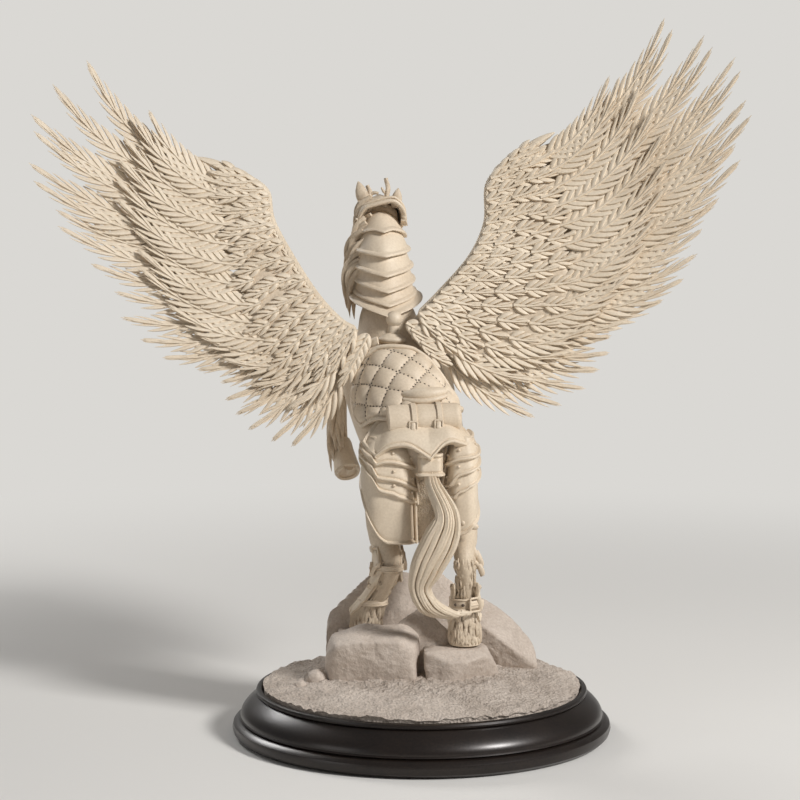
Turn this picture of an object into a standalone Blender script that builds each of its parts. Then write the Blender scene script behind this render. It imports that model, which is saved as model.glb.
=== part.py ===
"""Armoured pegasus figurine: a winged horse cast in resin, rearing on rocky ground in a turned plinth.

Metres, +Z up. The origin is the centre of the plinth's underside. The horse faces +Y, so its right is +X.
"""
import math

import bmesh
import bpy
import numpy as np

MM = 0.001

# Driving sizes of the plinth and of the ground that drops into it
PLINTH_DIAMETER = 120 * MM
PLINTH_HEIGHT = 15 * MM
# Height of the plinth's top at which the point lists of the rocks, the horse and the wings are drawn
FIGURE_DATUM = 15 * MM
FOOT_BEAD_HEIGHT = 5.4 * MM
RIDGE_INSET = 2.4 * MM
LIP_INSET = 7.5 * MM
LIP_BEAD_RADIUS = 0.9 * MM
RECESS_DEPTH = 2.6 * MM
RIM_WIDTH = 1.9 * MM
GROUND_RISE = 2.4 * MM
FIT = 0.3 * MM

# Driving sizes of the horse and its wings
NECK_HALF_WIDTH = 8.6 * MM
LAME_FLARE = 1.3 * MM
PLATE_THICKNESS = 1.4 * MM
PLATE_SINK = 2.5 * MM
SADDLE_PUFF = 1.6 * MM
BEDROLL_RADIUS = 4.4 * MM
BEDROLL_LENGTH = 23.4 * MM
STRAP_WIDTH = 1.9 * MM
STRAP_RISE = 0.5 * MM
HOOF_RADIUS = 5.0 * MM
FEATHER_THICKNESS = 0.8 * MM
FEATHER_RISE = 1.0 * MM
FLIGHT_LIFT = -1.9 * MM
COVER_LIFT = 0.4 * MM
ROOT_OVERLAP = 0.25
FLIGHT_TOOTH_SHARES = (0.87,)
FLIGHT_TOOTH_RATIOS = (0.8,)
COVER_TOOTH_SHARES = (0.83,)
COVER_TOOTH_RATIOS = (0.8,)
COVERT_COUNTS = (10, 9, 8, 8)
COVERT_SHARES = (0.92, 0.68, 0.44, 0.2)
COVERT_LIFT_RATIOS = (1.0, 1.35, 1.4, 1.2)
WING_THICKNESS = 5.6 * MM
TENON_LENGTH = 4.0 * MM
TENON_WIDTH = 4.6 * MM
TENON_HEIGHT = 7.0 * MM

LIP_RADIUS = PLINTH_DIAMETER / 2 - LIP_INSET
RECESS_RADIUS = LIP_RADIUS - RIM_WIDTH
GROUND_RADIUS = RECESS_RADIUS - FIT
RECESS_FLOOR = PLINTH_HEIGHT - RECESS_DEPTH
GROUND_BOTTOM = RECESS_FLOOR + FIT
GROUND_EDGE = RECESS_FLOOR + RECESS_DEPTH + 0.4 * MM
FIGURE_RAISE = PLINTH_HEIGHT - FIGURE_DATUM


def smooth(points, t):
    """Catmull-Rom curve through hand-chosen points, with t from 0 to 1 spread evenly over them."""
    p = np.asarray(points, dtype=float)
    p = np.vstack([2 * p[0] - p[1], p, 2 * p[-1] - p[-2]])
    x = np.clip(np.asarray(t, dtype=float), 0, 1) * (len(p) - 3)
    i = np.minimum(x.astype(int), len(p) - 4)
    f = (x - i)[..., None]
    a, b, c, d = p[i], p[i + 1], p[i + 2], p[i + 3]
    return 0.5 * (2 * b + (c - a) * f + (2 * a - 5 * b + 4 * c - d) * f ** 2 + (3 * b - a - 3 * c + d) * f ** 3)


def unit(vectors):
    """Vectors scaled to length one along their last axis."""
    v = np.asarray(vectors, dtype=float)
    return v / np.maximum(np.linalg.norm(v, axis=-1, keepdims=True), 1e-12)


def closed_tube(rings):
    """Closed shell from a stack of rings, with a fan of triangles over each end."""
    rings = np.asarray(rings, dtype=float)
    count, around = rings.shape[:2]
    verts = [tuple(v) for v in rings.reshape(-1, 3)]
    faces = []
    for r in range(count - 1):
        for a in range(around):
            b = (a + 1) % around
            faces.append((r * around + a, r * around + b, (r + 1) * around + b, (r + 1) * around + a))
    for row, flip in ((0, True), (count - 1, False)):
        verts.append(tuple(rings[row].mean(axis=0)))
        hub = len(verts) - 1
        for a in range(around):
            edge = (row * around + a, row * around + (a + 1) % around)
            faces.append((edge[1], edge[0], hub) if flip else (edge[0], edge[1], hub))
    return verts, faces


def slab(outer, inner):
    """Closed plate between an outer and an inner grid of the same size."""
    outer, inner = np.asarray(outer, dtype=float), np.asarray(inner, dtype=float)
    rows, cols = outer.shape[:2]
    verts = [tuple(v) for v in np.concatenate([outer.reshape(-1, 3), inner.reshape(-1, 3)])]
    back = rows * cols
    faces = []
    for r in range(rows - 1):
        for c in range(cols - 1):
            quad = (r * cols + c, r * cols + c + 1, (r + 1) * cols + c + 1, (r + 1) * cols + c)
            faces.append(quad)
            faces.append(tuple(back + q for q in reversed(quad)))
    border = [c for c in range(cols)]
    border += [r * cols + cols - 1 for r in range(1, rows)]
    border += [(rows - 1) * cols + c for c in range(cols - 2, -1, -1)]
    border += [r * cols for r in range(rows - 2, 0, -1)]
    for a, b in zip(border, border[1:] + border[:1]):
        faces.append((b, a, back + a, back + b))
    return verts, faces


def tube(centres, half_widths, half_depths, around, side=(1, 0, 0)):
    """Closed limb: ellipses square to a path, whose wide axis lies nearest to the side direction."""
    centres = np.asarray(centres, dtype=float)
    along = unit(np.gradient(centres, axis=0))
    side = np.broadcast_to(np.asarray(side, dtype=float), centres.shape)
    wide = unit(side - along * np.sum(side * along, axis=1, keepdims=True))
    deep = np.cross(along, wide)
    turn = np.linspace(0, 2 * math.pi, around, endpoint=False)
    half_widths = np.broadcast_to(half_widths, len(centres))[:, None, None]
    half_depths = np.broadcast_to(half_depths, len(centres))[:, None, None]
    ring = wide[:, None] * half_widths * np.cos(turn)[None, :, None]
    ring = ring + deep[:, None] * half_depths * np.sin(turn)[None, :, None]
    return closed_tube(centres[:, None] + ring)


def limb(points, steps, around):
    """Tube through hand-chosen points of the form x, y, z, half width, half depth, all in millimetres."""
    path = smooth(points, np.linspace(0, 1, steps)) * MM
    return tube(path[:, :3], path[:, 3], path[:, 4], around)


def block(centre, size, axes=((1, 0, 0), (0, 1, 0), (0, 0, 1))):
    """Closed box of the given full sizes along three axes."""
    x, y, z = np.asarray(axes, dtype=float) * np.asarray(size, dtype=float)[:, None] / 2
    centre = np.asarray(centre, dtype=float)
    corners = ((-1, -1), (1, -1), (1, 1), (-1, 1))
    rings = [[centre + k * z + sx * x + sy * y for sx, sy in corners] for k in (-1, 1)]
    return closed_tube(rings)


def ball(centre, radii, around=10, rings=6):
    """Closed ellipsoid from rings of latitude."""
    angle = np.linspace(-math.pi / 2, math.pi / 2, rings + 2)[1:-1]
    turn = np.linspace(0, 2 * math.pi, around, endpoint=False)
    grid = np.stack([np.outer(np.cos(angle), np.cos(turn)) * radii[0],
                     np.outer(np.cos(angle), np.sin(turn)) * radii[1],
                     np.outer(np.sin(angle), np.ones(around)) * radii[2]], axis=-1)
    return closed_tube(np.asarray(centre, dtype=float) + grid)


def hull(points):
    """Closed convex rock round hand-chosen corners in millimetres."""
    bm = bmesh.new()
    for p in points:
        bm.verts.new(np.asarray(p, dtype=float) * MM)
    out = bmesh.ops.convex_hull(bm, input=bm.verts)
    spare = [g for g in out["geom_interior"] if isinstance(g, bmesh.types.BMVert)]
    bmesh.ops.delete(bm, geom=spare, context="VERTS")
    bm.verts.index_update()
    shell = [tuple(v.co) for v in bm.verts], [tuple(v.index for v in f.verts) for f in bm.faces]
    bm.free()
    return shell


def mesh_of(name, shells):
    """One mesh from closed shells, each with its faces turned outwards."""
    bm = bmesh.new()
    for verts, faces in shells:
        made = [bm.verts.new(v) for v in verts]
        for face in faces:
            bm.faces.new([made[i] for i in face])
    bmesh.ops.recalc_face_normals(bm, faces=bm.faces)
    bmesh.ops.triangulate(bm, faces=bm.faces)
    mesh = bpy.data.meshes.new(name)
    bm.to_mesh(mesh)
    bm.free()
    return mesh


def add_object(name, shells, height=0.0):
    """Object of the given name holding the shells, stood at a height."""
    obj = bpy.data.objects.new(name, mesh_of(name, shells))
    obj.location.z = height
    bpy.context.collection.objects.link(obj)
    return obj


def boolean(obj, name, shells, operation):
    """Exact Boolean of the object with shells at the figure's height, kept in the scene as a hidden guide."""
    guide = add_object(name, shells, FIGURE_RAISE)
    guide.hide_render = True
    guide.display_type = "WIRE"
    cut = obj.modifiers.new(name, "BOOLEAN")
    cut.operation = operation
    cut.solver = "EXACT"
    cut.use_self = True
    cut.object = guide


def finish(obj, material, sharp_degrees):
    """Gives the object its material, and smooth shading up to a corner angle."""
    obj.data.materials.append(material)
    obj.data.shade_smooth()
    obj.data.set_sharp_from_angle(angle=math.radians(sharp_degrees))


def make_material(name, srgb, roughness, metallic):
    """Principled material whose colour is given as sRGB parts of 255."""
    parts = [c / 255 for c in srgb]
    linear = [p / 12.92 if p <= 0.04045 else ((p + 0.055) / 1.055) ** 2.4 for p in parts]
    material = bpy.data.materials.new(name)
    material.use_nodes = True
    shader = material.node_tree.nodes["Principled BSDF"]
    shader.inputs["Base Color"].default_value = (*linear, 1.0)
    shader.inputs["Roughness"].default_value = roughness
    shader.inputs["Metallic"].default_value = metallic
    return material


# Plinth

def arc(centre, radius, start, end, steps):
    """Points of a circle in the radius and height plane, from one angle to another in degrees."""
    angle = np.radians(np.linspace(start, end, steps))
    return [(centre[0] + radius * math.cos(a), centre[1] + radius * math.sin(a)) for a in angle]


def make_plinth(material):
    """Turned plinth: foot bead, quirk, ridge, swelling wall, lip bead, flat rim and the ground's recess."""
    foot = PLINTH_DIAMETER / 2
    ridge = foot - RIDGE_INSET
    bead = FOOT_BEAD_HEIGHT / 2
    quirk = 0.7 * MM
    lip_height = PLINTH_HEIGHT - LIP_BEAD_RADIUS
    wall_low = FOOT_BEAD_HEIGHT + quirk
    wall_high = lip_height - LIP_BEAD_RADIUS
    outline = [(0, 0), (foot - quirk, 0)]
    outline += arc((foot - bead * 0.5, bead), bead * 0.5, -60, 75, 4)
    outline += [(ridge - quirk, FOOT_BEAD_HEIGHT), (ridge, wall_low)]
    reach = ridge - LIP_RADIUS
    outline += [(ridge - reach * (1 - math.cos(s * math.pi / 2)), wall_low + (wall_high - wall_low) * s)
                for s in (0.25, 0.5, 0.75, 1.0)]
    outline += arc((LIP_RADIUS - LIP_BEAD_RADIUS, lip_height), LIP_BEAD_RADIUS, -30, 110, 4)
    outline += [(RECESS_RADIUS, PLINTH_HEIGHT - 0.3 * MM), (RECESS_RADIUS, RECESS_FLOOR), (0, RECESS_FLOOR)]
    bm = bmesh.new()
    verts = [bm.verts.new((r, 0, z)) for r, z in outline]
    edges = [bm.edges.new(pair) for pair in zip(verts, verts[1:])]
    bmesh.ops.spin(bm, geom=verts + edges, cent=(0, 0, 0), axis=(0, 0, 1), angle=2 * math.pi, steps=32)
    bmesh.ops.remove_doubles(bm, verts=bm.verts, dist=1e-6)
    bmesh.ops.dissolve_degenerate(bm, dist=1e-7, edges=bm.edges)
    bmesh.ops.recalc_face_normals(bm, faces=bm.faces)
    mesh = bpy.data.meshes.new("plinth")
    bm.to_mesh(mesh)
    bm.free()
    obj = bpy.data.objects.new("plinth", mesh)
    bpy.context.collection.objects.link(obj)
    finish(obj, material, 40)


# Ground and rocks, with corners in millimetres

HOOF_SEATS = {"right": (13.8, 3.0, 27.4), "left": (-17.8, 12.5, 30.0)}
BOULDER = [(-31, -6, 28), (-28, -9, 31.5), (-5, -10, 32.5), (-1, -7, 30), (-2, -9, 16), (-29, -6, 16),
           (-28, 4, 34),
           (-19, 2, 36), (-4, 3, 36), (-0.5, 1, 33.5), (-1, 5, 16), (-31, 5, 16), (-24, 6, 29.5),
           (-3, 5, 33)]
RIGHT_ROCK = [(0.5, -6, 27), (8.5, -9, 24.4), (15, -8, 24.2), (21, -3, 25.5), (25, 3, 20), (26, 5, 15),
              (9, -10, 15),
              (0.8, -7, 15), (0.8, 10, 27.1), (18, 10, 27.1), (21, 5, 27.1), (8, -3, 27.1),
              (17, -2.5, 27.1),
              (1, -1, 27.1), (2, 12, 15), (24, 11, 15)]
REAR_SLAB = [(-31, 20, 33), (-28, 22, 37), (-17, 29, 46), (7, 30, 46.5), (11, 29, 43), (14, 30, 34),
             (20, 26, 15),
             (-31, 18, 15), (-25, 20, 29), (-12, 25, 34), (6, 24, 36), (10, 34, 15), (-28, 34, 15),
             (-14, 38, 30)]
LEFT_LEDGE = [(-26, 9, 29.7), (-9, 9, 29.7), (-8, 20, 29.7), (-27, 19, 29.7), (-29, 7, 15), (-6, 7, 15),
              (-5, 24, 15),
              (-30, 24, 15)]
RIGHT_SLAB = [(19, 24, 39), (27, 23, 35), (32, 20, 30.5), (36.5, 16, 26), (38, 13, 17), (37, 24, 15),
              (18, 28, 15),
              (16, 16, 15), (17, 15, 31), (26, 13, 22), (27, 12, 15), (20, 28, 34)]
CENTRE_ROCK = [(-8, 6, 34), (0.5, 12, 38), (9, 6, 31), (8, 2, 24), (-6, 1, 24), (-9, 14, 15), (10, 14, 15),
               (9, 0, 15),
               (-8, 0, 15), (3, 17, 34)]
PEBBLES = [((-33, -4, 17.5), (3.2, 2.6, 3.4)), ((-38, -9, 16.8), (1.8, 1.6, 1.6)),
           ((31, -8, 16.4), (1.6, 1.4, 1.2))]


def ground_height(radius, turn):
    """Height of the rough earth: a low mound, higher behind the rocks, with a broken rim."""
    x, y = radius * math.cos(turn), radius * math.sin(turn)
    share = 1 - (radius / GROUND_RADIUS) ** 2
    back = math.exp(-((x + 4 * MM) / (30 * MM)) ** 2 - ((y - 20 * MM) / (20 * MM)) ** 2)
    rough = math.sin(x / (3.1 * MM)) * math.cos(y / (2.7 * MM)) + math.sin((x - y) / (5.3 * MM))
    return GROUND_EDGE + GROUND_RISE * share + 3.2 * MM * back * share + 0.35 * MM * rough


def make_ground(material):
    """Earth disc seated in the plinth's recess, with every rock cast on it as one piece."""
    sectors = 26
    radii = [0.16, 0.36, 0.56, 0.76, 0.92, 1.0]
    turns = [2 * math.pi * k / sectors for k in range(sectors)]
    rings = [[(GROUND_RADIUS * math.cos(a), GROUND_RADIUS * math.sin(a), GROUND_BOTTOM) for a in turns]]
    for share in reversed(radii):
        r = GROUND_RADIUS * share
        rings.append([(r * math.cos(a), r * math.sin(a), ground_height(r, a)) for a in turns])
    obj = add_object("ground", [closed_tube(rings)])
    rocks = [hull(r) for r in (BOULDER, RIGHT_ROCK, REAR_SLAB, LEFT_LEDGE, RIGHT_SLAB, CENTRE_ROCK)]
    rocks += [ball(np.asarray(c) * MM, np.asarray(r) * MM, 8, 4) for c, r in PEBBLES]
    boolean(obj, "rocks_guide", rocks, "UNION")
    finish(obj, material, 30)


# Horse, with path points in millimetres

TRUNK = [(2.4, -1, 80, 5, 5), (2.0, 0.5, 83, 11, 9), (0.4, 3.5, 86.5, 15.5, 13), (-1.4, 9, 91, 17, 15.5),
         (-4.3, 17, 96, 15.9, 16.5), (-7.2, 27, 104, 15, 17.2), (-10.2, 37, 112, 13, 16.8),
         (-12.5, 44, 117.5, 10, 14),
         (-13.5, 49, 121, 4, 7)]
NECK_LINE = [(-10.5, 44, 124, 8.8, 15), (-11.0, 45.5, 132, 8.6, 13.5), (-11.6, 46.5, 140, 8.6, 12.5),
             (-12.2, 47.5, 148, 8.2, 11.2), (-13.0, 49, 157, 7.0, 10.0), (-13.4, 51, 165, 6.0, 8.6)]
NECK_BASE_WIDTH = 8.6
CRINET_TIPS = [156.8, 148.4, 142.0, 136.9, 132.7]
CRINET_DROPS = [0.0, 2.2, 3.6, 4.2, 4.4]
CRINET_TOP = 164.5
HEAD = [(-13.4, 45, 162.5, 5, 5), (-13.4, 49.5, 162.5, 6.8, 8.0), (-14, 56, 158.5, 6.2, 9.0),
        (-14.8, 63, 152, 4.8, 6.4),
        (-15.5, 68.5, 146.5, 3.8, 4.7), (-16.0, 73, 142, 4.0, 4.5), (-16.2, 75.3, 139.6, 2.8, 3.0)]
CHEST = [(-6, 30, 107, 12, 13), (-9, 39, 114, 12.5, 15), (-10.5, 44, 123, 10.5, 15.5),
         (-11, 46, 131, 9.2, 13.4)]
TAIL = [(3.0, -9, 85, 2.0, 1.8), (3.4, -13.5, 81, 2.6, 2.0), (7.4, -16.5, 72, 3.9, 2.2),
        (5.6, -16, 65, 5.6, 2.4),
        (1.4, -14.5, 56, 5.2, 2.3), (-0.6, -13, 49, 3.6, 2.0), (2.0, -12.3, 43.4, 3.2, 1.8),
        (8.5, -10, 40.2, 2.0, 1.4),
        (15.4, -8, 39.8, 0.7, 0.6)]
HIND_LEGS = {
    "right": [(11.5, 4, 84, 6, 9), (12.8, 8, 72, 5, 8), (13.6, 4, 63, 4.4, 6), (13.3, -5.5, 56.5, 3.4, 3.8),
              (13.9, -3, 47, 2.7, 3.0), (13.5, 1.5, 39.5, 3.6, 3.6), (13.7, 2.6, 34.5, 4.4, 4.4)],
    "left": [(-9.8, 6, 84, 8, 11), (-11.0, 11, 71, 7.4, 9), (-11.5, 8, 61.5, 5.6, 6.2),
             (-10, 0.8, 54, 3.6, 3.8),
             (-11.5, 4, 47, 3.0, 3.1), (-15, 9.5, 41, 3.8, 3.8), (-17.4, 12, 37, 4.4, 4.4)]}
FORELEGS = {
    "left": [(-16, 42, 116, 6, 8), (-23, 50, 110, 6, 7), (-27, 60, 105, 4.4, 5), (-28.5, 66, 99, 3.6, 3.8),
             (-28, 61, 90, 2.6, 2.8), (-26.5, 55, 83, 3.2, 3.4)],
    "right": [(-6, 46, 116, 6, 8), (1.5, 55, 114, 5.6, 6.5), (6, 66, 115, 4.2, 4.8), (8, 73, 113, 3.6, 3.8),
              (9.5, 75, 103, 2.6, 2.8), (10, 73.5, 96, 3.2, 3.4)]}
FOREHOOVES = {"left": ((-26.8, 57.5, 85.5), (-24.4, 49.5, 76.5)),
              "right": ((9.9, 74.5, 99), (10.4, 71, 88.5))}
# Haunch armour: middle across at the foot and at the top, middle in depth, half widths there, half depth
HAUNCHES = {"left": (-10.2, -11.0, 4.0, 7.6, 8.3, 14.0), "right": (12.8, 12.6, 3.0, 4.6, 4.7, 13.0)}
HAUNCH_BOTTOM = 58.5
HAUNCH_TOP = 94.5
HAUNCH_DEPTHS = ((58.5, 0.84), (66, 0.93), (74, 1.0), (86, 1.0), (90, 0.92), (96, 0.62))
HAUNCH_TURNS = (-150, -110, -76, -40, -12, 9, 20, 40, 65, 95, 130, 165)
# Lower edges of the thigh plate and of the three lames above it: turn in degrees, 0 behind and growing
# outwards, height
HAUNCH_EDGES = {
    "left": [[(-76, 61), (0, 61.7), (10, 65), (27, 70.4), (40, 77.4), (65, 82), (150, 86)],
             [(-76, 73.5), (-12, 76.5), (8, 78.8), (20, 82.7), (45, 87), (150, 90)],
             [(-76, 77.5), (-15, 81.2), (9, 82.6), (20, 87), (60, 91)],
             [(-76, 84.5), (0, 87.6), (11, 86.6), (20, 89.5), (60, 92.5)]],
    "right": [[(-76, 64.2), (-5, 64.3), (25, 67), (60, 69), (150, 75)],
              [(-76, 75), (-17, 76.3), (10, 79.6), (90, 83)],
              [(-76, 79), (-32, 80), (2, 84.1), (90, 87)],
              [(-76, 85.5), (-27, 87.3), (0, 88.6), (90, 90)]]}
# Croup plate: its scalloped lower edge and its upper edge under the bedroll, point by point
CROUP_LOWER = [(-17.4, -6, 92.6), (-14.3, -11.2, 89.8), (-11.2, -12, 91.9), (-7.6, -12.3, 92.9),
               (-3.4, -12.8, 92.5),
               (2.7, -14, 88.9), (6.6, -12.4, 93), (9.5, -11.8, 94.1), (12.5, -10.5, 93.3),
               (15.4, -7, 91.3)]
CROUP_UPPER = [(-11.5, 0, 100.2), (-10.5, -0.4, 100.5), (-8.5, -0.8, 100.8), (-6, -1.2, 101),
               (-3, -1.6, 101),
               (1.5, -2, 101), (5, -1.6, 100.6), (7.5, -1, 100), (10, 0, 98.8), (12, 1, 97.2)]
CROUP_BULGE = (0.0, -3.2, 3.4)
CROUP_CORE = (-1, 6, 92)
CROUP_CORE_SHARE = 0.5
GUARD_CENTRE = (2.6, -10.2, 86.8)
GUARD_SIZE = (7.8, 5.0, 6.6)
MAIL = [(2.7, 0, 84, 5.4, 4), (2.7, -1, 74, 5.0, 3), (3.0, 1, 61, 4.2, 2.4)]
EARS = (((-18.6, 51.5, 166), (-20.7, 50.5, 173.4)), ((-8.3, 51.5, 165), (-7.4, 50.5, 171.2)))
TWIGS = ([(-11.2, 51, 165, 1, 1), (-10.6, 52, 169.6, 0.7, 0.7), (-11.4, 52, 172.9, 0.5, 0.5)],
         [(-14.4, 52, 166, 1, 1), (-15.9, 52, 168.6, 0.7, 0.7), (-17.2, 52, 170.8, 0.5, 0.5)])
# Collar over the withers: height and how far it stands off the neck
COLLAR_ROWS = ((125.5, 1.6), (129.0, 2.1), (133.0, 1.3))
POMMEL_CENTRE = (-9.4, 27.5, 122.8)
POMMEL_RADII = (4.6, 3.4, 1.6)
KNOB_CENTRE = (-8.7, 28.5, 129.4)
KNOB_RADII = (2.7, 2.7, 2.6)
KNOB_POST = [(-9.2, 29, 121, 2.4, 2.4), (-8.8, 28.7, 128, 1.8, 1.8)]
BEDROLL_CENTRE = (0.6, -3.2, 100.7)
# Saddle: shares of the trunk's length at its rear and front edges by turn in degrees
SADDLE_REAR = [(-86, 0.6), (-82, 0.53), (-70, 0.46), (-55, 0.395), (-40, 0.35), (-20, 0.335), (22, 0.36),
               (36, 0.42)]
SADDLE_FRONT = [(-86, 0.66), (-72, 0.71), (-33, 0.69), (-9, 0.667), (4, 0.6), (16, 0.55), (36, 0.44)]


def trunk_frame(s):
    """Centre, right and dorsal directions and half sizes of the trunk at shares s of its length."""
    path = smooth(TRUNK, s) * MM
    step = 0.01
    ahead = smooth(TRUNK, np.clip(np.asarray(s) + step, 0, 1)) * MM
    behind = smooth(TRUNK, np.clip(np.asarray(s) - step, 0, 1)) * MM
    forward = unit((ahead - behind)[..., :3])
    right = unit(np.cross(forward, np.array([0.0, 0.0, 1.0])))
    dorsal = np.cross(right, forward)
    return path[..., :3], right, dorsal, path[..., 3], path[..., 4]


def on_trunk(s, turn, lift):
    """Points of the trunk's skin, moved out by lift; turn is 0 on the back and grows to the right."""
    s, turn, lift = np.broadcast_arrays(s, turn, lift)
    centre, right, dorsal, wide, deep = trunk_frame(s)
    sine, cosine = np.sin(turn), np.cos(turn)
    skin = right * (wide * sine)[..., None] + dorsal * (deep * cosine)[..., None]
    out = unit(right * (deep * sine)[..., None] + dorsal * (wide * cosine)[..., None])
    return centre + skin + out * lift[..., None]


def patch(s_low, s_high, turn_low, turn_high, rows, cols, lift, sink, crown=0.0):
    """Plate that follows the trunk between two edges; each edge is a function of the share across."""
    across = np.linspace(0, 1, cols)
    along = np.linspace(0, 1, rows)[:, None]
    s = s_low(across) * (1 - along) + s_high(across) * along
    turn = np.radians(turn_low + (turn_high - turn_low) * across) + 0 * along
    swell = crown * (1 - (2 * across - 1) ** 2) * (1 - (2 * along - 1) ** 2)
    return slab(on_trunk(s, turn, lift + swell), on_trunk(s, turn, 0 * swell - sink))


def make_neck():
    """Neck with five crinet lames: each lame flares to a pointed lower edge over the one below it."""
    around = 12
    turn = np.linspace(0, 2 * math.pi, around, endpoint=False)
    away = np.abs((turn + math.pi) % (2 * math.pi) - math.pi)
    plated = np.clip((math.radians(125) - away) / math.radians(25), 0, 1)
    keel = 0.8 * MM * np.exp(-(away / math.radians(14)) ** 2)
    rows = [(124.0, 0.0, 0.0)]
    for tip, drop in zip(reversed(CRINET_TIPS), reversed(CRINET_DROPS)):
        rows += [(tip, drop, 0.0), (tip + 0.1, drop, 1.0), (tip + 1.1, drop, 0.75)]
    rows += [(CRINET_TOP, 0.0, 0.1)]
    low, high = NECK_LINE[0][2], NECK_LINE[-1][2]
    rings = []
    for height, drop, flare in rows:
        z = height + drop * np.minimum(away / math.radians(95), 1.0)
        path = smooth(NECK_LINE, (z - low) / (high - low))
        reach = LAME_FLARE * flare * plated + keel
        wide = path[:, 3] / NECK_BASE_WIDTH * NECK_HALF_WIDTH + reach
        deep = path[:, 4] * MM + reach
        rings.append(np.stack([path[:, 0] * MM + wide * np.sin(turn),
                               path[:, 1] * MM - deep * np.cos(turn), z * MM], 1))
    return closed_tube(rings)


def haunch_point(side, height, turn, lift):
    """Points in metres round the armoured haunch: a squarish oval that narrows towards its foot and over
    its top."""
    x_low, x_high, y, wide_low, wide_high, deep = HAUNCHES[side]
    outward = -1 if side == "left" else 1
    share = np.clip((height - HAUNCH_BOTTOM) / (HAUNCH_TOP - HAUNCH_BOTTOM), 0, 1)
    levels, sizes = np.asarray(HAUNCH_DEPTHS, dtype=float).T
    wide = wide_low + (wide_high - wide_low) * share + lift
    behind = deep * np.interp(height, levels, sizes) + lift
    across = wide * np.sign(np.sin(turn)) * np.abs(np.sin(turn)) ** 0.6 * outward
    back = behind * np.sign(np.cos(turn)) * np.abs(np.cos(turn)) ** 0.6
    return np.stack([x_low + (x_high - x_low) * share + across, y - back, height + 0 * turn], axis=-1) * MM


def make_haunch(side):
    """Armoured haunch: three lames, each with a flared lower edge, above one deep thigh plate."""
    turn = np.asarray(HAUNCH_TURNS, dtype=float)
    around = np.radians(turn)
    plated = np.interp(turn, (-110, -76, 130, 165), (0, 1, 1, 0))
    flare = LAME_FLARE / MM * plated
    edges = [np.interp(turn, *np.asarray(edge, dtype=float).T) for edge in HAUNCH_EDGES[side]]
    rings = [haunch_point(side, edges[0], around, 0 * turn - 2.0),
             haunch_point(side, edges[0], around, 0.4 * flare)]
    for edge in edges[1:]:
        rings += [haunch_point(side, edge - 0.1, around, 0 * turn), haunch_point(side, edge, around, flare)]
    rings.append(haunch_point(side, HAUNCH_TOP + 0 * turn, around, 0 * turn))
    return closed_tube(rings)


def make_mail():
    """Mail skirt that hangs between the haunches, in front of the tail."""
    return limb(MAIL, 4, 8)


def make_saddle():
    """Quilted seat and flap, crescent cantle, pommel plate and the knob before it."""
    low, high = SADDLE_REAR[0][0], SADDLE_REAR[-1][0]
    rear, front = (np.asarray(edge, dtype=float).T for edge in (SADDLE_REAR, SADDLE_FRONT))
    flap = patch(lambda a: np.interp(low + (high - low) * a, *rear),
                 lambda a: np.interp(low + (high - low) * a, *front),
                 low, high, 4, 9, PLATE_THICKNESS, PLATE_SINK, SADDLE_PUFF)
    bend = np.linspace(-1, 1, 9)
    bow = 1 - bend ** 2
    cantle = np.column_stack([1.0 + 6.6 * bend, 0.6 - 2.2 * bow, 106.8 - 0.9 * bow + 0.6 * bend]) * MM
    crescent = tube(cantle, (0.9 + 1.0 * bow) * MM, (1.0 + 0.8 * bow) * MM, 8, (0, 0, 1))
    plate = ball(np.asarray(POMMEL_CENTRE) * MM, np.asarray(POMMEL_RADII) * MM, 12, 4)
    knob = ball(np.asarray(KNOB_CENTRE) * MM, np.asarray(KNOB_RADII) * MM, 8, 4)
    post = limb(KNOB_POST, 2, 8)
    return [flap, crescent, plate, knob, post]


def make_bedroll():
    """Rolled blanket strapped behind the saddle: a cylinder with a round end, a flat end and two straps."""
    centre = np.asarray(BEDROLL_CENTRE) * MM
    axis = unit((1.0, 0.10, 0.05))
    share = np.array([-0.5, -0.5, -0.47, -0.2, 0.2, 0.44, 0.49, 0.5])
    size = np.array([0.5, 0.92, 1.0, 1.0, 0.98, 0.94, 0.7, 0.3])
    roll = tube(centre + np.outer(share * BEDROLL_LENGTH, axis), size * BEDROLL_RADIUS,
                size * BEDROLL_RADIUS, 12,
                (0, 0, 1))
    shells = [roll]
    for place in (-0.15, 0.19):
        ends = centre + np.outer(np.array([-0.5, 0.5]) * STRAP_WIDTH + place * BEDROLL_LENGTH, axis)
        shells.append(tube(ends, BEDROLL_RADIUS + STRAP_RISE, BEDROLL_RADIUS + STRAP_RISE, 12, (0, 0, 1)))
        outside = np.array((0, -0.93, -0.25)) * (BEDROLL_RADIUS + STRAP_RISE)
        buckle = centre + axis * place * BEDROLL_LENGTH + outside
        shells.append(block(buckle, (2.6 * MM, 1.2 * MM, 2.8 * MM)))
    return shells


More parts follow.
